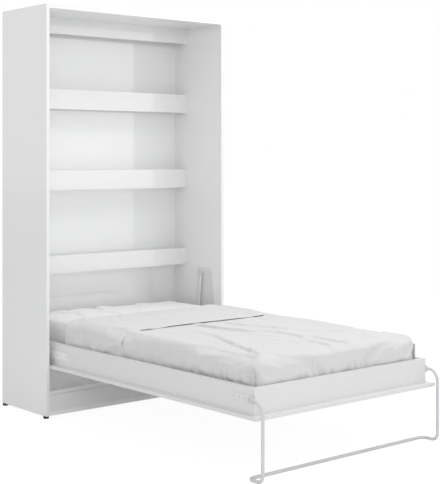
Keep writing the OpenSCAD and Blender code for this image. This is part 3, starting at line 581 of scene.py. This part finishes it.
def makeMattress(spec):
    low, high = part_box("mattress")
    centre = (low + high) / 2
    halfX, halfY = (high.x - low.x) / 2, (high.y - low.y) / 2
    bottom, top = low.z, high.z
    outline = roundedOutline(halfX, halfY, spec["corner"], spec["step"])
    roll, shoulder = spec["roll"], top - spec["crown"]
    rings = []
    for k in range(6):  # lower rolled edge
        angle = math.radians(90 * k / 5)
        rings.append((roll * (1 - math.sin(angle)), bottom + roll * (1 - math.cos(angle))))
    for k in range(1, 7):
        t = k / 7
        rings.append((spec["pull"] * math.sin(math.pi * t) ** 0.7,
                      bottom + roll + (shoulder - bottom - 2 * roll) * t))
    for k in range(6):
        angle = math.radians(90 * k / 5)
        rings.append((roll * (1 - math.cos(angle)), shoulder - roll * (1 - math.sin(angle))))
    mesh = bmesh.new()
    rows = [[mesh.verts.new((centre.x + x - nx * inset, centre.y + y - ny * inset, z))
             for x, y, nx, ny in outline] for inset, z in rings]
    count = len(outline)
    for lower, upper in zip(rows, rows[1:]):
        for i in range(count):
            mesh.faces.new((lower[i], lower[(i + 1) % count], upper[(i + 1) % count], upper[i]))
    mesh.faces.new(list(reversed(rows[0])))
    mesh.faces.new(rows[-1])
    piece = toObject(mesh, "mattressSheeted")
    remesh = piece.modifiers.new("even", "REMESH")
    remesh.mode = "VOXEL"
    remesh.voxel_size = spec["step"] * 0.6
    applyModifiers(piece)
    for vertex in piece.data.vertices:  # crown of the top
        x = (vertex.co.x - centre.x) / halfX
        y = (vertex.co.y - centre.y) / halfY
        if vertex.co.z > shoulder - 0.001:
            vertex.co.z += spec["crown"] * (1 - abs(x) ** 4) * (1 - abs(y) ** 8)
    return piece


def applyModifiers(piece):
    graph = bpy.context.evaluated_depsgraph_get()
    graph.update()
    made = bpy.data.meshes.new_from_object(piece.evaluated_get(graph))
    piece.modifiers.clear()
    old = piece.data
    piece.data = made
    bpy.data.meshes.remove(old)


def runCloth(piece, spec, pinned=None, swell=0.0):  # simulates, caps the movement and applies
    before = getPoints(piece)
    cloth = piece.modifiers.new("cloth", "CLOTH")
    settings = cloth.settings
    settings.quality = spec.get("quality", 5)
    settings.mass = 0.3
    settings.tension_stiffness = settings.compression_stiffness = spec.get("stiffness", 15)
    settings.shear_stiffness = 5
    settings.bending_stiffness = spec.get("bending", 0.5)
    settings.air_damping = 2
    settings.effector_weights.gravity = 0
    settings.shrink_min = -swell
    if spec.get("pressure"):
        settings.use_pressure = True
        settings.uniform_pressure_force = spec["pressure"]
    if pinned is not None:
        group = piece.vertex_groups.new(name="held")
        for index, weight in enumerate(pinned):
            group.add([index], float(weight), "REPLACE")
        settings.vertex_group_mass = "held"
        settings.pin_stiffness = spec.get("hold", 1.0)
    cloth.point_cache.frame_start = 1
    cloth.point_cache.frame_end = spec["frames"]
    scene = bpy.context.scene
    scene.frame_start, scene.frame_end = 1, spec["frames"]
    for step in range(1, spec["frames"] + 1):
        scene.frame_set(step)
    applyModifiers(piece)
    scene.frame_set(1)
    move = getPoints(piece) - before
    length = np.linalg.norm(move, axis=1)
    share = np.minimum(1, spec["cap"] / np.maximum(length, 1e-9))
    setPoints(piece, before + move * share[:, None])


def dress(piece, finish):
    piece.data.materials.clear()
    piece.data.materials.append(finishes[finish])
    for face in piece.data.polygons:
        face.use_smooth = True


def addSubdivision(piece, levels):
    subdivision = piece.modifiers.new("smooth", "SUBSURF")
    subdivision.levels = subdivision.render_levels = levels


def ease(values):  # 0 up to 0 and 1 from 1 on, with a soft rise between them
    t = np.clip(values, 0, 1)
    return t * t * (3 - 2 * t)


def wave(columns, scales, seed):  # smooth noise over points given by columns
    table = np.stack([column * scale for column, scale in zip(columns, scales)], axis=1)
    return np.array([noise.noise(Vector((a, b, seed))) for a, b in table])


creaseShape = {  # widths and heights are shares of the crease's own
    "shift": 0.75,  # from the drawn line to the crest, in steep widths
    "waver": 0.005,  # how far the crest strays from its line, in metres
    "waverScale": 16,
    "fall": 1.25,  # curve of the gentle side
    "hollow": 0.2,  # dip beside the steep side, and its place in steep widths
    "hollowPlace": 1.45,
}


def creaseHeight(spots, creases):  # height of the creases, and which way each leans
    shape = creaseShape
    high, low = np.zeros(len(spots)), np.zeros(len(spots))
    away = np.zeros((len(spots), 2))
    for steep, gentle, line in creases:
        best = np.full(len(spots), 1e9)
        off, tall = np.zeros(len(spots)), np.zeros(len(spots))
        facing = np.zeros((len(spots), 2))
        for (ax, ay, aHigh), (bx, by, bHigh) in zip(line, line[1:]):
            start, span = np.array((ax, ay)), np.array((bx - ax, by - ay))
            length = math.hypot(*span)
            t = np.clip((spots - start) @ span / length ** 2, 0, 1)
            gap = spots - (start + t[:, None] * span)
            distance = np.hypot(gap[:, 0], gap[:, 1])
            across = np.array((span[1], -span[0])) / length
            nearer = distance < best
            best = np.where(nearer, distance, best)
            off = np.where(nearer, np.where(gap @ across < 0, -distance, distance), off)
            tall = np.where(nearer, aHigh + (bHigh - aHigh) * ease(t), tall)
            facing = np.where(nearer[:, None], across, facing)
        scales = (shape["waverScale"], shape["waverScale"])
        seed = 100 * steep + 10 * gentle  # each crease wavers in its own way
        off = off - shape["shift"] * steep + shape["waver"] * wave(spots.T, scales, seed)
        rise = np.where(off < 0, ease(1 + off / steep), ease(1 - off / gentle) ** shape["fall"])
        fromHollow = (off + shape["hollowPlace"] * steep) / steep
        hollow = -shape["hollow"] * tall * np.exp(-fromHollow ** 2)
        away = np.where((tall * rise > high)[:, None], facing, away)
        high, low = np.maximum(high, tall * rise), np.minimum(low, hollow)
    return high + low, high[:, None] * away


def finishSheet(piece, spec):  # soft lines all over, and the crumpled head end
    low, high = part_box("mattress")
    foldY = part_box("duvet")[1].y
    x, y, z = getPoints(piece).T
    under, over = spec["topBand"]
    onTop = ease((z - high.z + under) / over)
    past, over = spec["bareBand"]
    bare = ease((y - foldY - past) / over)
    lines = wave((x, y), (3, 11), 0.7) + 0.5 * wave((x, y), (7, 24), 3.1)
    rise, lean = creaseHeight(np.stack([x, foldY - y], axis=1), spec["headCreases"])
    lift, broad, small = spec["swellings"]
    swellings = lift + broad * wave((x, y), (5, 6), 12.4) + small * wave((x, y), (16, 12), 2.2)
    z = np.minimum(z + onTop * spec["lines"] * lines * (1 - bare), high.z)
    z = z + onTop * bare * np.maximum(0, rise + swellings)
    x = x - onTop * bare * spec["headLean"] * lean[:, 0]
    upright = ease((z - low.z) / 0.06) * ease((high.z - 0.004 - z) / 0.05)
    fuller = spec["headBulge"] * (1 + 0.5 * wave((y, z), (9, 5), 7.7)) * bare * upright
    outer = ease((np.abs(x) - high.x + 0.05) / 0.04)
    x = np.clip(x, low.x, high.x) + np.sign(x) * fuller * outer
    y = np.clip(y, low.y, high.y)
    z = np.maximum(z, low.z)
    setPoints(piece, np.stack([x, y, z], axis=1))
    places = piece.data.attributes.new("clothPlace", "FLOAT_VECTOR", "POINT")
    cloth = np.stack([x + z, y + z, x * 0], axis=1)
    places.data.foreach_set("vector", cloth.astype(np.float32).ravel())
    piece.data.update()


mattress = makeMattress(mattressSpec)
runCloth(mattress, mattressSpec)
addSubdivision(mattress, 1)
applyModifiers(mattress)
finishSheet(mattress, mattressSpec)
dress(mattress, "sheetCotton")
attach(mattress, "bed")
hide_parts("mattress")
print("mattress: simulated, sheet drawn over it")

# Bed cover with its turned-back end

coverSpec = {
    "step": 0.012,  # mesh size of the simulated cloth, halved before it is creased
    "margin": 0.048,  # from the flat top to the hanging sides
    "shoulder": 0.036,  # radius over the edge
    "thick": 0.0062,
    "turnGap": 0.0024,  # from one layer to the next
    "turnLength": 0.524,
    "footHang": 0.14,  # length that the flat size counts for the cloth hanging at the foot
    "sideGap": 0.002,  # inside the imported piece's box
    "topGap": 0.0015,  # over the mattress
    "fan": 8,  # cuts round each foot corner
    "frames": 20,
    "quality": 5,
    "stiffness": 12,
    "bending": 0.35,
    "hold": 0.35,
    "swell": 0.018,
    "cap": 0.007,
    "weights": (0.06, 1.0, 0.9),  # how firmly the simulation holds the top, hems and fold
    "puff": (0.0024, 0.0012),  # soft rise and fall of the filling, broad and small
    "turnPuff": (0.0012, 0.0005),
    "lean": 0.8,  # how far a crease leans over its steep side
    "highest": 0.0158,  # most that the cloth rises over its flat lie
    "knee": 0.68,  # share of that from which it is held back
    "barStrip": (-0.80, -0.64, 0.0122),  # where the leg's bar comes down, and the most there
    "foldSlack": 0.004,  # past the fold's middle, before the cloth counts as turned back
    "layerGap": 0.0004,  # least air over the mattress, and most swell under the turned end
    "turnLow": (0.0024, 0.0016),  # least height of the turned end over the mattress, the top
    "hemClose": (0.0028, 0.008, 0.09),  # most at the hem, more of it further in, and over what
    "pastBox": (0.004, 0.003),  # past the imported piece's box at the sides and at the foot
    "hemLift": [(-0.52, 0.0), (-0.40, 0.0004), (-0.25, 0.0022), (0.0, 0.0034), (0.25, 0.0030),
                (0.42, 0.0014), (0.52, 0.0004)],  # how far the turned end's hem stands up
    "hemDrift": 0.014,  # how crooked the turned end lies
    "creases": [  # steep and gentle width; points across, from the fold to the foot, height
        (0.03, 0.12, [
            (-0.205, 0.667, 0.0), (-0.217, 0.724, 0.004), (-0.238, 0.816, 0.008),
            (-0.243, 0.878, 0.009), (-0.265, 0.952, 0.011), (-0.313, 1.065, 0.0135),
            (-0.347, 1.173, 0.015), (-0.383, 1.274, 0.0155), (-0.409, 1.361, 0.015),
            (-0.446, 1.453, 0.012), (-0.482, 1.541, 0.008), (-0.512, 1.614, 0.0)]),
        (0.026, 0.105, [
            (-0.105, 0.52, 0.0), (-0.097, 0.551, 0.009), (-0.094, 0.649, 0.014),
            (-0.081, 0.755, 0.0155), (-0.061, 0.842, 0.0155), (-0.037, 0.922, 0.0135),
            (0.015, 0.969, 0.0115), (0.048, 1.029, 0.011), (0.052, 1.121, 0.011),
            (0.042, 1.218, 0.0105), (0.029, 1.282, 0.0)]),
        (0.016, 0.04, [
            (-0.115, 0.861, 0.0), (-0.095, 0.914, 0.004), (-0.068, 1.012, 0.005),
            (-0.045, 1.098, 0.005), (-0.008, 1.165, 0.0045), (0.017, 1.217, 0.0)]),
        (0.022, 0.085, [
            (-0.016, 0.55, 0.0), (0.011, 0.575, 0.006), (0.058, 0.617, 0.008),
            (0.07, 0.701, 0.0105), (0.08, 0.762, 0.01), (0.115, 0.81, 0.009), (0.135, 0.87, 0.009),
            (0.145, 0.944, 0.0095), (0.171, 0.99, 0.0085), (0.236, 1.039, 0.005),
            (0.266, 1.089, 0.0)]),
        (0.024, 0.08, [
            (0.085, 1.215, 0.0), (0.079, 1.264, 0.0085), (0.072, 1.341, 0.0105),
            (0.071, 1.41, 0.011), (0.064, 1.503, 0.009), (0.027, 1.586, 0.0)]),
        (0.022, 0.07, [
            (-0.032, 1.297, 0.0), (-0.025, 1.332, 0.007), (-0.019, 1.381, 0.0095),
            (-0.026, 1.442, 0.01), (-0.048, 1.518, 0.0085), (-0.096, 1.606, 0.0)]),
        (0.018, 0.055, [
            (-0.021, 1.523, 0.0), (-0.047, 1.594, 0.007), (-0.069, 1.667, 0.006),
            (-0.096, 1.732, 0.0)]),
        (0.018, 0.05, [
            (-0.135, 1.184, 0.0), (-0.106, 1.21, 0.0045), (-0.08, 1.26, 0.005),
            (-0.085, 1.318, 0.005), (-0.108, 1.407, 0.0)]),
        (0.018, 0.06, [
            (0.16, 1.062, 0.0), (0.193, 1.092, 0.0055), (0.256, 1.171, 0.0065),
            (0.3, 1.233, 0.0055), (0.325, 1.278, 0.0)]),
        (0.02, 0.08, [
            (0.366, 0.869, 0.0), (0.345, 1.043, 0.0045), (0.348, 1.185, 0.0045),
            (0.336, 1.309, 0.0)]),
        (0.026, 0.08, [
            (-0.38, 0.56, 0.0), (-0.39, 0.66, 0.0035), (-0.415, 0.8, 0.004), (-0.45, 0.93, 0.0)]),
        (0.024, 0.09, [
            (0.27, 0.54, 0.0), (0.305, 0.64, 0.005), (0.33, 0.78, 0.0055), (0.4, 0.93, 0.0)]),
    ],
    "turnCreases": [
        (0.018, 0.075, [
            (-0.1, -0.01, 0.0), (-0.083, 0.098, 0.0045), (-0.068, 0.218, 0.004),
            (-0.031, 0.31, 0.0)]),
        (0.016, 0.05, [
            (-0.515, 0.262, 0.0), (-0.476, 0.255, 0.0035), (-0.345, 0.225, 0.004),
            (-0.29, 0.19, 0.0)]),
        (0.016, 0.045, [
            (-0.515, 0.378, 0.0), (-0.439, 0.384, 0.004), (-0.39, 0.405, 0.003),
            (-0.35, 0.43, 0.0)]),
        (0.022, 0.08, [
            (0.18, 0.06, 0.0), (0.22, 0.18, 0.0035), (0.23, 0.29, 0.003), (0.215, 0.43, 0.0)]),
    ],
    "leftEdge": [  # how far the shoulder sinks along the left, from foot to head
        (-1.00, 0.013), (-0.91, 0.013), (-0.75, 0.007), (-0.63, 0.004), (-0.54, -0.001),
        (-0.44, -0.004), (-0.30, -0.002), (-0.20, 0.002), (-0.10, 0.007), (-0.01, 0.013),
        (0.06, 0.009), (0.20, 0.005), (0.40, 0.007), (0.60, 0.010)],
    "rightEdge": (0.004, 0.009),  # sinking of the right and the foot shoulder: mean, swing
    "footEdge": (0.005, 0.006),
    "edgeBand": (0.068, 0.065),  # a shoulder begins so far in, and takes hold over this
    "hemWidth": 0.03,
    "hemFilling": (0.3, 0.002, 0.03),  # least share of the filling, and where it grows
    "seam": (0.014, 0.003),  # from the turned end's hem, and its width
    "sideSwell": 0.0026,  # broad swell of the hanging sides
    "pleats": 0.0016,  # depth of the small pleats where the sides are tucked in
    "gathers": [  # deeper gathers: side, from, to, depth
        ("left", -0.64, -0.47, 0.0060), ("left", -0.92, -0.73, 0.0060),
        ("left", 0.04, 0.43, 0.0045), ("foot", -0.25, 0.20, 0.0065),
        ("right", -0.70, -0.45, 0.0050), ("right", 0.05, 0.30, 0.0045)],
}


def coverProfile(halfX, top, hem, spec):  # one half section: (x, z, normal x, normal z) outwards
    margin, radius, step = spec["margin"], spec["shoulder"], spec["step"]
    points = []
    flat = margin - radius
    for k in range(1, 3):
        points.append((halfX - margin + flat * k / 2, top, 0.0, 1.0))
    for k in range(1, 7):
        angle = math.radians(90 * k / 6)
        points.append((halfX - radius + radius * math.sin(angle),
                       top - radius * (1 - math.cos(angle)), math.sin(angle), math.cos(angle)))
    drop = top - radius - hem
    count = max(3, round(drop / step))
    for k in range(1, count + 1):
        points.append((halfX, top - radius - drop * k / count, 1.0, 0.0))
    return points


def makeCover(spec):
    low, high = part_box("duvet")
    halfX = high.x - spec["sideGap"]
    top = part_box("mattress")[1].z + spec["thick"] + spec["topGap"]
    footY, foldY = low.y, high.y - spec["turnGap"]
    innerX, innerY = halfX - spec["margin"], footY + spec["margin"]
    half = coverProfile(halfX, top, low.z, spec)
    columns = max(8, round(2 * innerX / spec["step"]))
    across = [(-x, z, -nx, nz) for x, z, nx, nz in reversed(half)]
    across += [(-innerX + 2 * innerX * k / columns, top, 0.0, 1.0) for k in range(columns + 1)]
    across += half
    rowsY = max(8, round((foldY - innerY) / spec["step"]))
    sections = [(innerY + (foldY - innerY) * k / rowsY, 0.0) for k in range(rowsY + 1)]
    bend = spec["turnGap"] / 2
    sections += [(foldY + bend * math.sin(math.pi * k / 6), bend * (1 - math.cos(math.pi * k / 6)))
                 for k in range(1, 7)]
    rowsTurn = max(4, round(spec["turnLength"] / spec["step"]))
    sections += [(foldY - spec["turnLength"] * k / rowsTurn, 2 * bend)
                 for k in range(1, rowsTurn + 1)]
    mesh = bmesh.new()
    clothX, clothY = [], []  # place on the cloth, in metres

    def addPoint(x, y, z, alongX, alongY):
        clothX.append(alongX)
        clothY.append(alongY)
        return mesh.verts.new((x, y, z))

    arc = [0.0]
    for one, two in zip(across, across[1:]):
        arc.append(arc[-1] + math.hypot(two[0] - one[0], two[1] - one[1]))
    middle = arc[-1] / 2
    run = [0.0]
    for one, two in zip(sections, sections[1:]):
        run.append(run[-1] + math.hypot(two[0] - one[0], two[1] - one[1]))
    rows = []
    for (y, off), along in zip(sections, run):
        rows.append([addPoint(x + nx * off, y, z + nz * off, a - middle, along)
                     for (x, z, nx, nz), a in zip(across, arc)])
    for one, two in zip(rows, rows[1:]):
        for i in range(len(across) - 1):
            mesh.faces.new((one[i], one[i + 1], two[i + 1], two[i]))
    ring = [(x - innerX, z, nx, nz) for x, z, nx, nz in [(innerX, top, 0.0, 1.0)] + half]
    fan = spec["fan"]
    spokes = [(-innerX, math.pi + math.pi / 2 * k / fan) for k in range(fan + 1)]
    spokes += [(-innerX + 2 * innerX * k / columns, 1.5 * math.pi) for k in range(1, columns)]
    spokes += [(innerX, 1.5 * math.pi + math.pi / 2 * k / fan) for k in range(fan + 1)]
    walls = []
    for x, angle in spokes:
        out = (math.cos(angle), math.sin(angle))
        walls.append([addPoint(x + out[0] * d, innerY + out[1] * d, z, x + out[0] * d,
                               out[1] * d - (top - z)) for d, z, nx, nz in ring])
    for one, two in zip(walls, walls[1:]):
        for k in range(len(ring) - 1):
            mesh.faces.new((one[k], one[k + 1], two[k + 1], two[k]))
    layer = mesh.verts.layers.float_vector.new("clothPlace")
    for vertex, x, y in zip(mesh.verts, clothX, clothY):
        vertex[layer] = (x, y, 0)
    bmesh.ops.remove_doubles(mesh, verts=mesh.verts, dist=1e-5)
    bmesh.ops.recalc_face_normals(mesh, faces=mesh.faces)
    piece = toObject(mesh, "bedCover")
    facts = {"halfX": halfX, "top": top, "footY": footY, "foldY": foldY, "hem": low.z,
             "width": arc[-1], "length": run[-1] + spec["footHang"], "foldRun": foldY - innerY}
    if piece.data.polygons[rowsY // 2 * (len(across) - 1) + len(across) // 2].normal.z < 0:
        piece.data.flip_normals()
    return piece, facts


def clothRun(piece):  # place of every point along the cloth, from the foot
    return np.array([spot.vector.y for spot in piece.data.attributes["clothPlace"].data])


def coverRise(x, y, onTop, upper, facts, spec):  # creases and filling: height, and their lean
    fromFold = facts["foldY"] - y
    spots = np.stack([x, fromFold], axis=1)
    beyond = ease((fromFold - spec["turnLength"] + 0.012) / 0.045)  # clear of the turned end
    rise, lean = creaseHeight(spots, spec["creases"])
    broad, small = spec["puff"]
    lumps = broad * wave((x + y * 0.4, y), (4, 4), 1.7) + small * wave(
        (x + y * 0.5, y - x * 0.5), (13, 10), 5.1)
    turnRise, turnLean = creaseHeight(spots, spec["turnCreases"])
    broad, small = spec["turnPuff"]
    turnLumps = broad * wave((x, y), (5, 12), 8.3) + small * wave((x, y), (14, 30), 2.3)
    first, last, barHeight = spec["barStrip"]
    strip = ease((y - first + 0.04) / 0.04) * ease((last + 0.04 - y) / 0.04)
    most = spec["highest"] + (barHeight - spec["highest"]) * strip
    knee = spec["knee"] * most
    rise = rise + lumps
    heldBack = knee + (most - knee) * (1 - np.exp(-(rise - knee) / (most - knee)))
    rise = np.where(rise > knee, heldBack, rise)
    height = onTop * np.where(upper, turnRise + turnLumps, beyond * rise)
    lean = np.where(upper[:, None], turnLean, beyond[:, None] * lean)
    return height, onTop[:, None] * spec["lean"] * lean


def coverSink(x, y, z, facts, spec):  # shoulders sink unevenly
    edges = np.array(spec["leftEdge"])
    leftSink = np.interp(y, edges[:, 0], edges[:, 1])
    mean, swing = spec["rightEdge"]
    rightSink = mean + swing * wave((y, y * 0), (4.5, 1), 21.0)
    inset, over = spec["edgeBand"]
    outer = ease((np.abs(x) - facts["halfX"] + inset) / over)
    share = np.clip((z - facts["hem"]) / (facts["top"] - facts["hem"]), 0, 1)
    sink = np.where(x < 0, leftSink, rightSink) * outer * share
    mean, swing = spec["footEdge"]
    footSink = (mean + swing * wave((x, x * 0), (6, 1), 31.0)) * share * ease(
        (facts["footY"] + inset - y) / over)
    return np.maximum(sink, footSink)


def coverPleats(x, y, z, normal, onTop, facts, spec):  # how far the hanging sides stand out
    hang = facts["top"] - spec["shoulder"]
    below = ease((hang + 0.018 - z) / (hang - facts["hem"]))
    onFoot = np.abs(normal[:, 1]) > np.abs(normal[:, 0])
    run = np.where(onFoot, x, y)
    seed = np.where(onFoot, 0.0, np.where(x < 0, 40.0, 80.0))
    deep = np.full(len(x), spec["pleats"])
    for side, first, last, depth in spec["gathers"]:
        where = onFoot if side == "foot" else ~onFoot & ((x < 0) == (side == "left"))
        mask = ease((run - first) / 0.04) * ease((last - run) / 0.04) * where
        deep = np.maximum(deep, depth * mask)
    threads = wave((run + seed, z + run * 0.6), (23, 4.0), 4.0)
    narrow = 1 - np.minimum(1, np.abs(threads) * 3.4)
    corner = 1 - ease(2.2 * np.abs(normal[:, 0] * normal[:, 1]))
    pleat = deep * below * corner * (0.7 * np.abs(threads) * 2 - narrow) * (1 - onTop)
    broad = spec["sideSwell"] * wave((run + seed, z), (8, 3), 6.0) * (1 - onTop)
    return pleat + broad * ease((hang + 0.02 - z) / 0.06)


def creaseCover(piece, facts, spec):  # creases, gathers and the soft filling
    co = getPoints(piece)
    normal = np.array([vertex.normal for vertex in piece.data.vertices])
    turned = clothRun(piece) - facts["foldRun"]
    x, y, z = co.T
    upper = turned > spec["foldSlack"]
    onTop = ease((np.abs(normal[:, 2]) - 0.35) / 0.5)
    height, shift = coverRise(x, y, onTop, upper, facts, spec)
    sink = coverSink(x, y, z, facts, spec)
    toHem = spec["turnLength"] - turned
    lift = np.interp(x, *np.array(spec["hemLift"]).T) * np.exp(-(toHem / spec["hemWidth"]) ** 2)
    sink = sink - np.where(upper, lift * onTop, 0)
    drift = spec["hemDrift"] * wave((x, x * 0), (2.6, 1), 55.0) * turned
    drift = np.where(upper, drift / spec["turnLength"], 0)
    outwards = np.where(upper, -1.0, 1.0)[:, None] * normal
    stands = outwards * coverPleats(x, y, z, normal, onTop, facts, spec)[:, None]
    co += stands
    co[:, 0] -= shift[:, 0]
    co[:, 1] += shift[:, 1] + drift
    co[:, 2] += height - sink
    setPoints(piece, co)


def holdWeights(piece, facts, spec):  # hems and the far side of the turn stay put
    loose, atHem, atFold = spec["weights"]
    weights = []
    for vertex in piece.data.vertices:
        if vertex.co.z < facts["hem"] + 0.02:
            weights.append(atHem)
        elif vertex.co.y > facts["foldY"] - 0.01:
            weights.append(atFold)
        else:
            weights.append(loose)
    return weights


def limitCover(piece, facts, spec):  # over the mattress, inside the bed box, clear of the leg
    cadLow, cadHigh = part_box("duvet")
    turned = clothRun(piece) - facts["foldRun"]
    upper = turned > spec["foldSlack"]
    x, y, z = getPoints(piece).T
    thick, top = spec["thick"], facts["top"]
    overMattress, overTop = spec["turnLow"]
    inside = (np.abs(x) < facts["halfX"] - 0.05) & (y > facts["footY"] + 0.05)
    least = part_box("mattress")[1].z + thick + spec["layerGap"]
    z = np.where(inside, np.maximum(z, least + np.where(upper, overMattress, 0)), z)
    first, last, barHeight = spec["barStrip"]
    most = np.where((y > first) & (y < last), barHeight, spec["highest"])
    z = np.minimum(z, top + most - np.where(upper, thick, 0))
    under = ~upper & (facts["foldY"] - y < spec["turnLength"] - 0.002)
    z = np.where(under, np.minimum(z, top + spec["layerGap"]), z)
    z = np.where(upper & inside, np.maximum(z, top + overTop), z)
    lift = np.interp(x, *np.array(spec["hemLift"]).T)  # the turned end's hem lies close
    close, more, reach = spec["hemClose"]
    highest = top + close + lift + more * ease((spec["turnLength"] - turned) / reach)
    z = np.where(upper, np.minimum(z, highest), z)
    aside, ahead = spec["pastBox"]
    x = np.clip(x, -cadHigh.x - aside, cadHigh.x + aside)
    y = np.maximum(y, cadLow.y - ahead)
    setPoints(piece, np.stack([x, y, z], axis=1))


def thinHems(piece, facts, spec):  # the filling ends before the turned end's hem
    filling = piece.vertex_groups.new(name="filling")
    least, start, over = spec["hemFilling"]
    toHem = spec["turnLength"] - (clothRun(piece) - facts["foldRun"])
    for index, share in enumerate(least + (1 - least) * ease((toHem - start) / over)):
        filling.add([index], float(share), "REPLACE")
    return filling.name


def markSeams(piece, facts, spec):  # 1 along the stitched hem, 0 elsewhere
    seam = piece.data.attributes.new("seam", "FLOAT", "POINT")
    inset, width = spec["seam"]
    off = np.abs(facts["length"] - spec["footHang"] - clothRun(piece) - inset)
    seam.data.foreach_set("value", np.exp(-(off / width) ** 2).astype(np.float32))


cover, coverFacts = makeCover(coverSpec)
firmness = holdWeights(cover, coverFacts, coverSpec)
runCloth(cover, coverSpec, firmness, coverSpec["swell"])
addSubdivision(cover, 1)
applyModifiers(cover)
creaseCover(cover, coverFacts, coverSpec)
limitCover(cover, coverFacts, coverSpec)
markSeams(cover, coverFacts, coverSpec)
dress(cover, "coverCotton")
thickness = cover.modifiers.new("thickness", "SOLIDIFY")
thickness.thickness = coverSpec["thick"]
thickness.offset = -1
thickness.vertex_group = thinHems(cover, coverFacts, coverSpec)
thickness.thickness_vertex_group = 0
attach(cover, "bed")
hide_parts("duvet")
print("cover: laid, creased and turned back")

print("scene: built")
